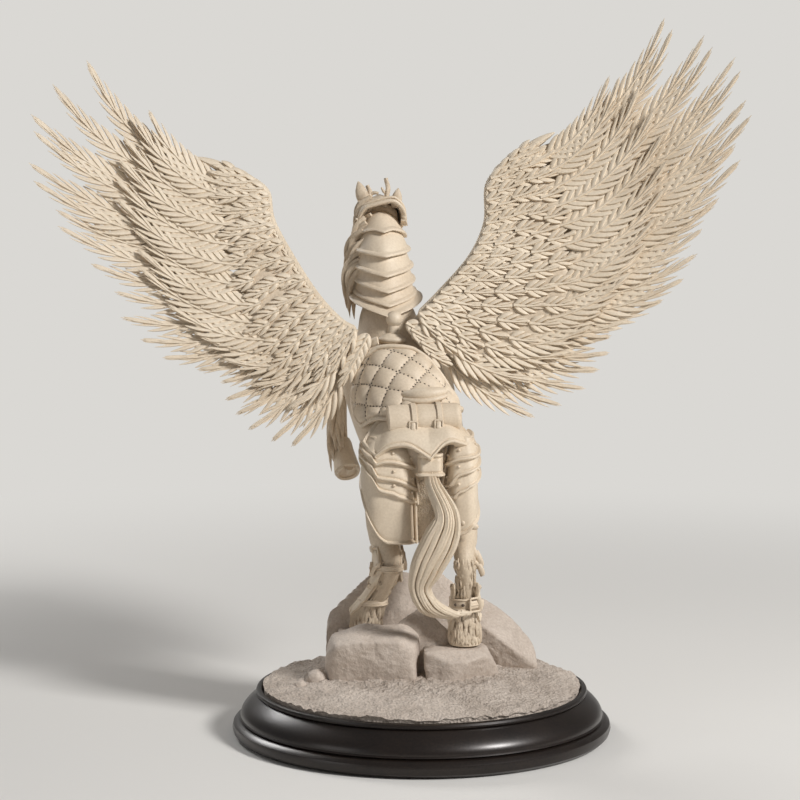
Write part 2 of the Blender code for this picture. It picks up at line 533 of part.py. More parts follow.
def make_head():
    """Head looking forwards, with its plate, upright ears and two short twigs of the crown."""
    shells = [limb(HEAD, 8, 10)]
    turn = np.radians(np.linspace(-105, 105, 7))
    rows = [(0.02, 3.0, 0.9), (0.16, 1.6, 1.0), (0.4, 1.2, 1.0), (0.7, 1.1, 0.8), (0.9, 1.0, 0.5)]
    outer, inner = [], []
    for s, lift, span in rows:
        at = smooth(HEAD, s) * MM
        ahead = unit(smooth(HEAD, min(1, s + 0.02))[:3] - smooth(HEAD, max(0, s - 0.02))[:3])
        up = unit(np.cross((1, 0, 0), ahead))
        for grid, extra in ((outer, lift * MM), (inner, -1.0 * MM)):
            wide, deep = at[3] + extra, at[4] + extra
            grid.append(at[:3] + np.outer(wide * np.sin(turn * span),
                                          (1, 0, 0)) + np.outer(deep * np.cos(turn * span), up))
    shells.append(slab(outer, inner))
    for base, tip in EARS:
        path = smooth([(*base, 2.0, 1.4), (*(np.asarray(base) * 0.4 + np.asarray(tip) * 0.6), 1.9, 1.3),
                       (*tip, 0.3, 0.3)],
                      np.linspace(0, 1, 4)) * MM
        shells.append(tube(path[:, :3], path[:, 3], path[:, 4], 6))
    return shells + [limb(twig, 3, 5) for twig in TWIGS]


def make_mane():
    """Mane that falls on the near side of the neck."""
    strands = [(-17.5, 49, 166, 2.4, 3.5), (-20.6, 49, 160, 3.4, 5.5), (-22.4, 48, 152, 3.8, 6.0),
               (-22.0, 47, 145, 3.4, 5.0), (-20.0, 46, 138, 2.2, 3.0)]
    return limb(strands, 6, 7)


def make_hind_leg(side):
    """Hind leg with hock, cannon, feathered fetlock and hoof, standing flat on its rock."""
    x, y, seat = HOOF_SEATS[side]
    shells = [limb(HIND_LEGS[side], 9, 8)]
    hoof = [(x, y, seat, HOOF_RADIUS / MM, HOOF_RADIUS / MM), (x, y, seat + 2, 4.9, 4.9),
            (x, y - 0.3, seat + 5, 4.4, 4.4),
            (x, y - 0.8, seat + 9, 3.6, 3.8)]
    path = np.asarray(hoof) * MM
    shells.append(tube(path[:, :3], path[:, 3], path[:, 4], 8))
    return shells


def make_greave(side):
    """Greave on the hind leg: a dished plate in front of the cannon, and on the right leg its belt and
    buckle."""
    leg = np.asarray(HIND_LEGS[side], dtype=float)
    outward = -1 if side == "left" else 1
    turn = np.radians(np.linspace(-80, 80, 6))
    low, high = leg[5], leg[3]
    outer, inner = [], []
    for share, reach in ((-0.35, 5.4), (0.1, 4.9), (0.6, 4.6), (1.05, 4.4)):
        at = low[:3] + (high[:3] - low[:3]) * share
        for grid, radius in ((outer, reach), (inner, reach - 1.6)):
            side_step = outward * radius * np.cos(turn)
            front_step = radius * np.sin(turn) * 1.1 + 1.2
            grid.append(np.stack([at[0] + side_step, at[1] + front_step, at[2] + 0 * turn], 1) * MM)
    shells = [slab(outer, inner)]
    belt = low[:3] + (high[:3] - low[:3]) * 0.18
    rings = np.array([belt - (0, 0, 1.5), belt + (0, 0, 1.5)]) * MM
    shells.append(tube(rings, 4.3 * MM, 4.6 * MM, 8))
    if side == "right":
        shells.append(block((belt + (1.6, -4.4, 0.1)) * MM, (3.4 * MM, 1.4 * MM, 4.0 * MM)))
    return shells


def make_foreleg(side):
    """Raised foreleg with its hoof; the left hoof shows its sole and shoe behind."""
    shells = [limb(FORELEGS[side], 7, 7)]
    top, sole = (np.asarray(p, dtype=float) * MM for p in FOREHOOVES[side])
    heights = np.array([0.0, 0.35, 1.0])
    path = top + np.outer(heights, sole - top)
    shells.append(tube(path, np.array([3.4, 3.6, 4.4]) * MM, np.array([3.4, 3.6, 4.2]) * MM, 8))
    return shells


def make_rump():
    """Domed croup plate with a scalloped edge and a central point, and the guard plate over the tail."""
    lower, upper = np.asarray(CROUP_LOWER, dtype=float), np.asarray(CROUP_UPPER, dtype=float)
    across = np.linspace(-1, 1, len(lower))[:, None]
    middle = (lower + upper) / 2 + np.asarray(CROUP_BULGE) * (1 - 0.6 * across ** 4)
    share = np.array([0, 0.3, 0.65, 1])[:, None, None]
    outer = lower * (1 - share) ** 2 + 2 * middle * share * (1 - share) + upper * share ** 2
    inner = outer + (np.asarray(CROUP_CORE) - outer) * CROUP_CORE_SHARE
    guard = block(np.asarray(GUARD_CENTRE) * MM, np.asarray(GUARD_SIZE) * MM)
    return [slab(outer * MM, inner * MM), guard]


def make_collar():
    """Neck collar: a plate that spreads over the withers below the crinet."""
    turn = np.radians(np.linspace(-125, 125, 9))
    outer, inner = [], []
    for height, extra in COLLAR_ROWS:
        path = smooth(NECK_LINE, (height - NECK_LINE[0][2]) / (NECK_LINE[-1][2] - NECK_LINE[0][2]))
        z = height + 3.6 * np.minimum(np.abs(turn) / math.radians(95), 1.0)
        for grid, lift in ((outer, extra), (inner, -1.6)):
            grid.append(np.stack([path[0] + (path[3] + lift) * np.sin(turn),
                                  path[1] - (path[4] + lift) * np.cos(turn), z],
                                 1) * MM)
    return slab(outer, inner)


# Wings, with outline points across and up in millimetres

WINGS = {
    "left": {
        "arm": [(-20.2, 126.0), (-26.9, 129.9), (-36.0, 140.3), (-47.6, 159.5), (-50.5, 170.8),
                (-61.8, 178.0)],
        "cover": [(-65.2, 173.4), (-62.4, 160.6), (-57.6, 141.7), (-53.2, 125.6), (-44.4, 114.0),
                  (-26.4, 113.9)],
        "tips": [(-108.9, 212.9), (-119.1, 205.1), (-125.4, 195.4), (-124.3, 190.0), (-125.5, 179.9),
                 (-123.8, 174.2),
                 (-116.9, 165.0), (-116.1, 159.9), (-105.7, 147.8), (-98.2, 138.9), (-96.1, 130.8),
                 (-89.7, 123.8),
                 (-82.8, 118.0), (-71.8, 114.0), (-64.4, 109.8), (-62.8, 104.5), (-59.5, 99.8),
                 (-55.4, 95.1),
                 (-48.0, 91.3), (-41.6, 89.7)],
        "over": [(-88.7, 196.8), (-93.4, 195.2), (-96.5, 188.5), (-97.7, 181.3), (-98.5, 175.0),
                 (-97.7, 168.5),
                 (-92.8, 159.3), (-91.0, 152.5), (-90.0, 146.3), (-81.3, 134.8), (-72.9, 126.2),
                 (-63.5, 117.5),
                 (-54.5, 109.0), (-43.0, 101.5)],
        "root": (-20.2, 120.6)},
    "right": {
        "arm": [(-2.0, 130.2), (6.1, 138.1), (16.0, 149.2), (21.2, 160.5), (22.3, 173.7), (33.2, 184.2)],
        "cover": [(38.4, 181.8), (44.3, 166.0), (47.6, 148.5), (47.3, 130.4), (32.4, 118.3), (7.2, 118.6)],
        "tips": [(80.2, 226.9), (82.6, 223.2), (92.6, 221.1), (95.0, 217.2), (102.0, 213.8), (103.4, 209.3),
                 (104.9, 199.9), (106.3, 195.1), (101.1, 185.2), (102.5, 180.8), (95.7, 168.7),
                 (90.2, 158.8),
                 (88.5, 150.9), (84.0, 143.0), (77.6, 136.3), (67.5, 130.1), (61.1, 124.7), (60.4, 119.4),
                 (57.2, 114.0), (52.6, 108.0), (45.0, 102.6), (36.4, 98.8)],
        "over": [(61.9, 208.0), (65.1, 207.6), (71.5, 204.5), (76.5, 198.0), (79.0, 189.5), (80.0, 181.0),
                 (79.0, 172.0), (76.0, 163.0), (72.5, 154.0), (67.5, 145.0), (61.5, 136.5), (55.0, 128.0),
                 (48.0, 119.5), (37.0, 110.5)],
        "root": (-2.0, 124.6)}}
WING_DEPTH = 26.0
WING_LEAN = 0.35
WING_SWEEP = 0.0022
WING_CENTRE = -7.0
WING_FLAT = 15.0


def wing_point(flat, lift):
    """Point of the wing's mid surface from its place across and up, moved towards the back by lift."""
    flat = np.asarray(flat, dtype=float)
    out = np.maximum(np.abs(flat[..., 0] - WING_CENTRE) - WING_FLAT, 0)
    depth = WING_DEPTH + WING_LEAN * (flat[..., 1] - 128.0) - WING_SWEEP * out ** 2
    return np.stack([flat[..., 0], depth - np.asarray(lift) / MM, flat[..., 1]], axis=-1) * MM


def quill(base, tip, bend, t):
    """Quadratic curve from base to tip that leaves the base turned by bend radians from the chord."""
    base, tip = np.asarray(base, dtype=float), np.asarray(tip, dtype=float)
    chord = tip - base
    turned = np.array([chord[0] * math.cos(bend) - chord[1] * math.sin(bend),
                       chord[0] * math.sin(bend) + chord[1] * math.cos(bend)])
    middle = base + 0.48 * turned
    t = np.asarray(t, dtype=float)[..., None]
    return base * (1 - t) ** 2 + 2 * middle * t * (1 - t) + tip * t ** 2


def fan(bases, tips, bends, rows, teeth, lift, rise, thick):
    """Row of feathers cast as one pleated sheet: a ridge down each feather, valleys between, toothed free
    tips.

    The last of rows is the share of their length where the feathers part; teeth are shares past it.
    """
    count = len(bases)
    rows = np.asarray(rows, dtype=float)
    ridges = np.array([quill(bases[k], tips[k], bends[k], rows) for k in range(count)])
    valleys = 0.5 * (ridges[:-1] + ridges[1:])
    flat = np.empty((2 * count + 1, len(rows), 2))
    flat[1::2] = ridges
    flat[2:-1:2] = valleys
    flat[0] = 2 * ridges[0] - valleys[0]
    flat[-1] = 2 * ridges[-1] - valleys[-1]
    sunk = np.interp(rows, (0, 0.3), (0.2, 1.0))
    crest = (np.arange(2 * count + 1) % 2)[:, None]
    upper = wing_point(flat, sunk * (lift + rise * crest))
    lower = wing_point(flat, sunk * (lift - thick + 0.35 * rise * crest))
    verts = [tuple(v) for v in np.concatenate([upper.reshape(-1, 3), lower.reshape(-1, 3)])]
    steps = len(rows)
    under = (2 * count + 1) * steps
    faces = []
    for c in range(2 * count):
        for r in range(steps - 1):
            quad = (c * steps + r, (c + 1) * steps + r, (c + 1) * steps + r + 1, c * steps + r + 1)
            faces.append(quad)
            faces.append(tuple(under + q for q in reversed(quad)))
        faces.append(((c + 1) * steps, c * steps, under + c * steps, under + (c + 1) * steps))
    for c in (0, 2 * count):
        for r in range(steps - 1):
            edge = (c * steps + r, c * steps + r + 1)
            faces.append((edge[0], edge[1], under + edge[1], under + edge[0]))
    for k in range(count):
        end = [(2 * k + j) * steps + steps - 1 for j in range(3)]
        ring = (end[0], end[1], end[2], under + end[2], under + end[1], under + end[0])
        for t, spread in teeth:
            middle = quill(bases[k], tips[k], bends[k], t)
            far = np.linspace(0.4, 1, 25)
            beside = [quill(bases[j], tips[j], bends[j], far) for j in (k - 1, k + 1) if 0 <= j < count]
            half = min(np.linalg.norm(line - middle, axis=1).min() for line in beside) / 2
            before, after = quill(bases[k], tips[k], bends[k], np.array([t - 0.02, t + 0.02]))
            ahead = unit(after - before)
            across = np.array([ahead[1], -ahead[0]])
            sign = 1 if np.dot(across, flat[2 * k + 2, -1] - flat[2 * k, -1]) > 0 else -1
            reach = across * sign * half * spread
            push = ahead * half * spread * 0.35
            start = len(verts)
            verts += [tuple(wing_point(middle - reach + push, lift - thick / 2)),
                      tuple(wing_point(middle, lift + rise)),
                      tuple(wing_point(middle + reach + push, lift - thick / 2)),
                      tuple(wing_point(middle, lift - thick + 0.35 * rise))]
            left, top, right, bottom = range(start, start + 4)
            if len(ring) == 6:
                faces += [(ring[0], ring[1], top, left), (ring[1], ring[2], right, top),
                          (ring[2], ring[3], right),
                          (ring[3], ring[4], bottom, right), (ring[4], ring[5], left, bottom),
                          (ring[5], ring[0], left)]
            else:
                faces += [(ring[j], ring[(j + 1) % 4], start + (j + 1) % 4, start + j) for j in range(4)]
            ring = (left, top, right, bottom)
        verts.append(tuple(wing_point(tips[k], lift - thick / 2)))
        faces += [(ring[j], ring[(j + 1) % len(ring)], len(verts) - 1) for j in range(len(ring))]
    return verts, faces


def wing_core(wing):
    """Fleshy arm of the wing: an aerofoil section between the arm line and the cover line."""
    share = np.linspace(0, 1, 7)[:, None]
    arm = smooth(wing["arm"], share[:, 0])
    cover = smooth(wing["cover"], 1 - share[:, 0])
    chord = np.array([0.0, 0.12, 0.45, 0.8, 1.0])
    fat = np.array([0.35, 0.9, 1.0, 0.8, 0.5])
    fade = (1.05 - 0.45 * share)
    flat = arm[:, None] + (cover - arm)[:, None] * chord[None, :, None]
    upper = wing_point(flat, WING_THICKNESS / 2 * fat * fade)
    lower = wing_point(flat, -WING_THICKNESS / 2 * fat * fade)
    return slab(upper, lower)


def make_wing(side, material):
    """Wing casting: core, two layers of flight feathers, rows of short coverts, and the tenon at its
    root."""
    wing = WINGS[side]
    outward = -1 if side == "left" else 1
    shells = []
    flight_teeth = tuple(zip(FLIGHT_TOOTH_SHARES, FLIGHT_TOOTH_RATIOS))
    cover_teeth = tuple(zip(COVER_TOOTH_SHARES, COVER_TOOTH_RATIOS))
    layers = (("tips", 0.0, (0, 0.35, 0.72), flight_teeth, FLIGHT_LIFT),
              ("over", 0.35, (0, 0.3, 0.7), cover_teeth, COVER_LIFT))
    for key, start, rows, teeth, lift in layers:
        tips = np.asarray(wing[key], dtype=float)
        count = len(tips)
        share = (np.arange(count) + start) / (count - 1 + 2 * start)
        bases = smooth(wing["cover"], share)
        roots = bases + (smooth(wing["arm"], 1 - share) - bases) * ROOT_OVERLAP
        bends = outward * -np.radians(34 - 14 * share)
        shells.append(fan(roots, tips, bends, rows, teeth, lift, FEATHER_RISE, FEATHER_THICKNESS))
    for chord, count, lift in zip(COVERT_SHARES, COVERT_COUNTS, COVERT_LIFT_RATIOS):
        place = (np.arange(count) + 0.5) / count
        arm = smooth(wing["arm"], 1 - place)
        reach = smooth(wing["cover"], place) - arm
        tips = arm + reach * (chord + 0.14)
        bends = np.zeros(count)
        lifted = lift * WING_THICKNESS / 2
        shells.append(fan(arm + reach * (chord - 0.2), tips, bends, (0, 0.62), (), lifted,
                          FEATHER_RISE * 0.7,
                          FEATHER_THICKNESS * 1.6))
    depth = wing_point(np.array(wing["root"]), 0.0)[1]
    centre = np.array([wing["root"][0] * MM - outward * TENON_LENGTH / 2, depth, wing["root"][1] * MM])
    shells.append(block(centre, (TENON_LENGTH + 4 * MM, TENON_WIDTH, TENON_HEIGHT)))
    obj = add_object("wing_" + side, [wing_core(wing)], FIGURE_RAISE)
    boolean(obj, "feathers_guide_" + side, shells, "UNION")
    finish(obj, material, 25)


def shoulder(side):
    """Shoulder boss that carries the wing's root, and the socket that takes its tenon."""
    wing = WINGS[side]
    outward = -1 if side == "left" else 1
    x, z = wing["root"]
    depth = wing_point(np.array(wing["root"]), 0.0)[1]
    face = x * MM - outward * FIT
    inside = face - outward * 9 * MM
    centres = np.array([(inside, depth + 2 * MM, (z - 3) * MM), (face, depth, z * MM)])
    boss = tube(centres, np.array([7.5, 5.6]) * MM, np.array([8.0, 4.0]) * MM, 10, (0, 0, 1))
    socket_length = TENON_LENGTH + 4 * MM
    socket = block((face - outward * (socket_length / 2 - 1 * MM), depth, z * MM),
                   (socket_length + 2 * MM, TENON_WIDTH + 2 * FIT, TENON_HEIGHT + 2 * FIT))
    return boss, socket


def make_body(material):
    """The horse with its armour and tack, cast as one, with a socket in each shoulder."""
    shells = [make_neck(), limb(CHEST, 4, 8), make_haunch("left"), make_haunch("right"), make_mail(),
              make_mane(),
              make_collar()]
    shells += make_saddle() + make_bedroll() + make_head() + make_rump()
    for side in ("left", "right"):
        shells += make_hind_leg(side) + make_greave(side) + make_foreleg(side)
        shells.append(shoulder(side)[0])
    shells.append(limb(TAIL, 12, 8))
    path = smooth(TRUNK, np.linspace(0, 1, 9)) * MM
    obj = add_object("pegasus_body", [tube(path[:, :3], path[:, 3], path[:, 4], 12)], FIGURE_RAISE)
    boolean(obj, "body_guide", shells, "UNION")
    boolean(obj, "socket_guide", [shoulder(side)[1] for side in ("left", "right")], "DIFFERENCE")
    finish(obj, material, 30)


def main():
    for old in list(bpy.data.objects):
        bpy.data.objects.remove(old, do_unlink=True)
    lacquer = make_material("black_bronze_lacquer", (38, 31, 27), 0.35, 0.2)
    resin = make_material("cast_resin", (216, 200, 180), 0.62, 0.0)
    stone = make_material("stone_resin", (198, 185, 172), 0.8, 0.0)
    make_plinth(lacquer)
    make_ground(stone)
    make_body(resin)
    make_wing("left", resin)
    make_wing("right", resin)


main()
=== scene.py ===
"""Dressed model of the armoured pegasus figurine: cast resin on a lacquered plinth, in a plain studio."""
import math

import bmesh
import bpy
import numpy as np
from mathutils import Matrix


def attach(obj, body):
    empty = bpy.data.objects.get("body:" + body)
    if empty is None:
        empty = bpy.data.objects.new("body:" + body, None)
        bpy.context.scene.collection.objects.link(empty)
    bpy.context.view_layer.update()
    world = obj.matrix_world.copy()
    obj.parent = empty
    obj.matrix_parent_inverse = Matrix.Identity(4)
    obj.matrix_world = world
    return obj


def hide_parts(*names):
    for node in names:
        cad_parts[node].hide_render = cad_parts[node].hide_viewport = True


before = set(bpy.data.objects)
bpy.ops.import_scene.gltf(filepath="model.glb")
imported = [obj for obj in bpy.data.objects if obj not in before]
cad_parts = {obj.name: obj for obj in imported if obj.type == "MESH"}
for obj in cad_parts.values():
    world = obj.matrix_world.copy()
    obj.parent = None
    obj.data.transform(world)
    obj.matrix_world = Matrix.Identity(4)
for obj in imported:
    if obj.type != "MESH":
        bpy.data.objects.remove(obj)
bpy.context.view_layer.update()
MM = 0.001


# Curves and arrays

def smooth(points, t):
    """Catmull-Rom curve through given points, with t from 0 to 1 spread evenly over them."""
    p = np.asarray(points, dtype=float)
    p = np.vstack([2 * p[0] - p[1], p, 2 * p[-1] - p[-2]])
    x = np.clip(np.asarray(t, dtype=float), 0, 1) * (len(p) - 3)
    i = np.minimum(x.astype(int), len(p) - 4)
    f = (x - i)[..., None]
    a, b, c, d = p[i], p[i + 1], p[i + 2], p[i + 3]
    square, cube = 2 * a - 5 * b + 4 * c - d, 3 * b - a - 3 * c + d
    return 0.5 * (2 * b + (c - a) * f + square * f ** 2 + cube * f ** 3)


def unit(vectors):
    """Vectors scaled to length one along their last axis."""
    v = np.asarray(vectors, dtype=float)
    return v / np.maximum(np.linalg.norm(v, axis=-1, keepdims=True), 1e-12)


def lattice(i, j, k, seed):
    """Repeatable random value from 0 to 1 for each whole-numbered lattice point."""
    h = (i.astype(np.int64) * 73856093) ^ (j.astype(np.int64) * 19349663) ^ (k.astype(np.int64) * 83492791)
    h = (h ^ (seed * 2654435761)) & 0xFFFFFFFF
    h = ((h ^ (h >> 16)) * 73244475) & 0xFFFFFFFF
    h = ((h ^ (h >> 15)) * 73244475) & 0xFFFFFFFF
    return ((h ^ (h >> 16)) & 0xFFFFFF) / 0xFFFFFF


def noise(points, size, seed):
    """Value noise from -1 to 1 at points in metres: lattice values blended by a cubic ease, size in mm."""
    q = np.asarray(points) / (size * MM)
    cell = np.floor(q)
    f = q - cell
    f = f * f * (3 - 2 * f)
    total = 0
    for dx in (0, 1):
        for dy in (0, 1):
            for dz in (0, 1):
                weight = np.where(dx, f[..., 0], 1 - f[..., 0]) * np.where(dy, f[..., 1], 1 - f[..., 1])
                weight = weight * np.where(dz, f[..., 2], 1 - f[..., 2])
                corner = lattice(cell[..., 0] + dx, cell[..., 1] + dy, cell[..., 2] + dz, seed)
                total = total + weight * corner
    return 2 * total - 1


def layered(points, size, octaves, seed):
    """Fractal noise: octaves of value noise, each half the size and half the strength of the last."""
    return sum(noise(points, size / 2 ** k, seed + k) / 2 ** k for k in range(octaves))


class Shape:
    """Vertices and faces of one piece, gathered as whole arrays of equal surfaces."""

    def __init__(self):
        self.points, self.faces, self.count = [], [], 0

    def add(self, points, faces):
        """Adds surfaces (n, v, 3) that share face lists (f, corners), each turned to enclose space."""
        n, v = points.shape[:2]
        volume = np.zeros(n)
        for quad in faces:
            corner = points[:, quad]
            for k in range(1, quad.shape[1] - 1):
                cross = np.cross(corner[:, :, k], corner[:, :, k + 1])
                volume += np.einsum("nfi,nfi->n", corner[:, :, 0], cross)
        start = self.count + v * np.arange(n)[:, None, None]
        for quad in faces:
            turned = np.where((volume > 0)[:, None, None], quad[None], quad[None, :, ::-1])
            self.faces.append((turned + start).reshape(-1, quad.shape[1]))
        self.points.append(points.reshape(-1, 3))
        self.count += n * v

    def tubes(self, rings):
        """Closed tubes from rings (n, rows, around, 3): quads between rings and a polygon over each end."""
        rings = rings[None] if rings.ndim == 3 else rings
        n, rows, around = rings.shape[:3]
        r, a = np.meshgrid(np.arange(rows - 1), np.arange(around), indexing="ij")
        b = (a + 1) % around
        quads = np.stack([r * around + a, r * around + b, (r + 1) * around + b, (r + 1) * around + a], -1)
        quads = quads.reshape(-1, 4)
        ends = np.stack([np.arange(around)[::-1], (rows - 1) * around + np.arange(around)])
        self.add(rings.reshape(n, -1, 3), [quads, ends])

    def plates(self, outer, inner):
        """Closed plates between outer and inner grids (n, rows, columns, 3)."""
        outer, inner = (g[None] if g.ndim == 3 else g for g in (outer, inner))
        n, rows, cols = outer.shape[:3]
        r, c = np.meshgrid(np.arange(rows - 1), np.arange(cols - 1), indexing="ij")
        top = np.stack([r * cols + c, r * cols + c + 1, (r + 1) * cols + c + 1, (r + 1) * cols + c], -1)
        top = top.reshape(-1, 4)
        back = rows * cols
        rim = np.concatenate([np.arange(cols), np.arange(1, rows) * cols + cols - 1,
                              (rows - 1) * cols + np.arange(cols - 2, -1, -1),
                              np.arange(rows - 2, 0, -1) * cols])
        after = np.roll(rim, -1)
        wall = np.stack([after, rim, back + rim, back + after], -1)
        both = np.concatenate([outer.reshape(n, -1, 3), inner.reshape(n, -1, 3)], axis=1)
        self.add(both, [np.concatenate([top, back + top[:, ::-1], wall])])

    def mesh(self, name):
        """Blender mesh of everything that was added."""
        mesh = bpy.data.meshes.new(name)
        points = np.concatenate(self.points)
        mesh.vertices.add(len(points))
        mesh.vertices.foreach_set("co", points.astype(np.float32).ravel())
        sizes = np.concatenate([np.full(len(f), f.shape[1]) for f in self.faces])
        mesh.loops.add(int(sizes.sum()))
        corners = np.concatenate([f.ravel() for f in self.faces])
        mesh.loops.foreach_set("vertex_index", corners.astype(np.int32))
        mesh.polygons.add(len(sizes))
        starts = np.concatenate([[0], np.cumsum(sizes)[:-1]])
        mesh.polygons.foreach_set("loop_start", starts.astype(np.int32))
        mesh.update(calc_edges=True)
        return mesh


def dress(name, mesh, material, node, sharp):
    """Makes a finished piece: smooth up to a corner angle, with its material, on the root body, with the
    solid of its node hidden.
    """
    mesh.name = name
    mesh.shade_smooth()
    mesh.set_sharp_from_angle(angle=math.radians(sharp))
    obj = bpy.data.objects.new(name, mesh)
    bpy.context.collection.objects.link(obj)
    obj.data.materials.append(material)
    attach(obj, "root")
    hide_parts(node)


# Materials

# Sizes in millimetres of the clouds between the two hues and of the specks in them
CLOUD_SIZE = 14
SPECK_SIZE = 0.7


def colour(code):
    """Linear colour of an sRGB hex value."""
    parts = [int(code[i:i + 2], 16) / 255 for i in (0, 2, 4)]
    return (*[p / 12.92 if p <= 0.04045 else ((p + 0.055) / 1.055) ** 2.4 for p in parts], 1.0)


def node(tree, kind, inputs=(), **settings):
    """Adds a node, sets its properties, and sets or links its inputs from (name, value or socket) pairs."""
    made = tree.nodes.new("ShaderNode" + kind)
    for key, value in settings.items():
        setattr(made, key, value)
    for key, value in inputs:
        if isinstance(value, bpy.types.NodeSocket):
            tree.links.new(value, made.inputs[key])
        else:
            made.inputs[key].default_value = value
    return made


def ramp(tree, factor, stops):
    """Colour ramp over a factor, from (place, colour code) stops."""
    made = node(tree, "ValToRGB", [("Fac", factor)])
    while len(made.color_ramp.elements) < len(stops):
        made.color_ramp.elements.new(0.5)
    for element, (place, code) in zip(made.color_ramp.elements, stops):
        element.position = place
        element.color = colour(code)
    return made.outputs["Color"]


def finish_of(name, low, high, roughness, patterns, metallic=0.0, coat=0.0, spread=0.06):
    """Principled finish: two close hues clouded together, and a bump summed from patterns.

    Each pattern is (kind, millimetres, strength, depth in millimetres).
    """
    material = bpy.data.materials.new(name)
    material.use_nodes = True
    tree = material.node_tree
    shader = tree.nodes["Principled BSDF"]
    place = node(tree, "TexCoord").outputs["Object"]
    cloud = node(tree, "TexNoise", [("Vector", place), ("Scale", 1 / (CLOUD_SIZE * MM)), ("Detail", 5.0)])
    cloud = cloud.outputs["Fac"]
    speck = node(tree, "TexNoise", [("Vector", place), ("Scale", 1 / (SPECK_SIZE * MM)), ("Detail", 3.0)])
    speck = speck.outputs["Fac"]
    both = node(tree, "Math", [(0, cloud), (1, speck)], operation="ADD").outputs[0]
    half = node(tree, "Math", [(0, both), (1, 0.5)], operation="MULTIPLY").outputs[0]
    tree.links.new(ramp(tree, half, ((0.36, low), (0.64, high))), shader.inputs["Base Color"])
    rough = node(tree, "MapRange", [("Value", speck), ("To Min", roughness - spread),
                                    ("To Max", roughness + spread)])
    tree.links.new(rough.outputs[0], shader.inputs["Roughness"])
    normal = None
    for kind, size, strength, depth in patterns:
        if kind == "Voronoi":
            made = node(tree, "TexVoronoi", [("Vector", place), ("Scale", 1 / (size * MM))])
            made = made.outputs["Distance"]
        elif kind == "Wave":
            made = node(tree, "TexWave", [("Vector", place), ("Scale", 0.31 / (size * MM)),
                                          ("Distortion", 3.0), ("Detail", 2.0)], bands_direction="Z")
            made = made.outputs["Fac"]
        else:
            made = node(tree, "TexNoise", [("Vector", place), ("Scale", 1 / (size * MM)), ("Detail", 4.0)])
            made = made.outputs["Fac"]
        inputs = [("Height", made), ("Strength", strength), ("Distance", depth * MM)]
        if normal:
            inputs.append(("Normal", normal))
        normal = node(tree, "Bump", inputs).outputs["Normal"]
    tree.links.new(normal, shader.inputs["Normal"])
    shader.inputs["Metallic"].default_value = metallic
    shader.inputs["Coat Weight"].default_value = coat
    shader.inputs["Coat Roughness"].default_value = 0.25
    return material


# Cast polyurethane resin, matte from a silicone mould: a warm light grey with a faint grain
RESIN = finish_of("cast_resin_smooth", "CDBBA3", "DDCDB6", 0.52, [("Noise", 0.25, 0.25, 0.05)])
# The same resin where the pattern was cut as short hair, leather, woven blanket, feather, rock or earth
RESIN_HIDE = finish_of("cast_resin_hide", "C3B199", "D6C5AE", 0.6,
                       [("Noise", 0.9, 0.5, 0.3), ("Noise", 0.3, 0.4, 0.1)])
RESIN_LEATHER = finish_of("cast_resin_leather", "CBB9A1", "DCCBB4", 0.56, [("Voronoi", 0.55, 0.3, 0.08)])
RESIN_CLOTH = finish_of("cast_resin_blanket", "CBB9A1", "DBCAB3", 0.64,
                        [("Wave", 0.5, 0.3, 0.1), ("Noise", 0.4, 0.3, 0.1)])
RESIN_FEATHER = finish_of("cast_resin_feather", "D2C1A9", "E2D3BD", 0.6, [("Noise", 0.8, 0.15, 0.04)])
RESIN_STONE = finish_of("cast_resin_rock", "B5A698", "CBBEB1", 0.74,
                        [("Noise", 2.2, 0.8, 0.7), ("Noise", 0.5, 0.6, 0.2)])
RESIN_EARTH = finish_of("cast_resin_earth", "A89A8D", "CDC0B3", 0.82,
                        [("Voronoi", 0.9, 0.8, 0.6), ("Noise", 0.35, 0.7, 0.3)])
# Painted shade for deep stitch holes and belt holes: a dark resin colour standing in for the shadow the
# resin lies in there
RESIN_HOLE_SHADE = finish_of("cast_resin_hole_painted_shade", "52463C", "63564A", 0.75, [("Noise", 0.4, 0.3, 0.1)])
QUILT_WIDE = 9.2
QUILT_LONG = 9.9


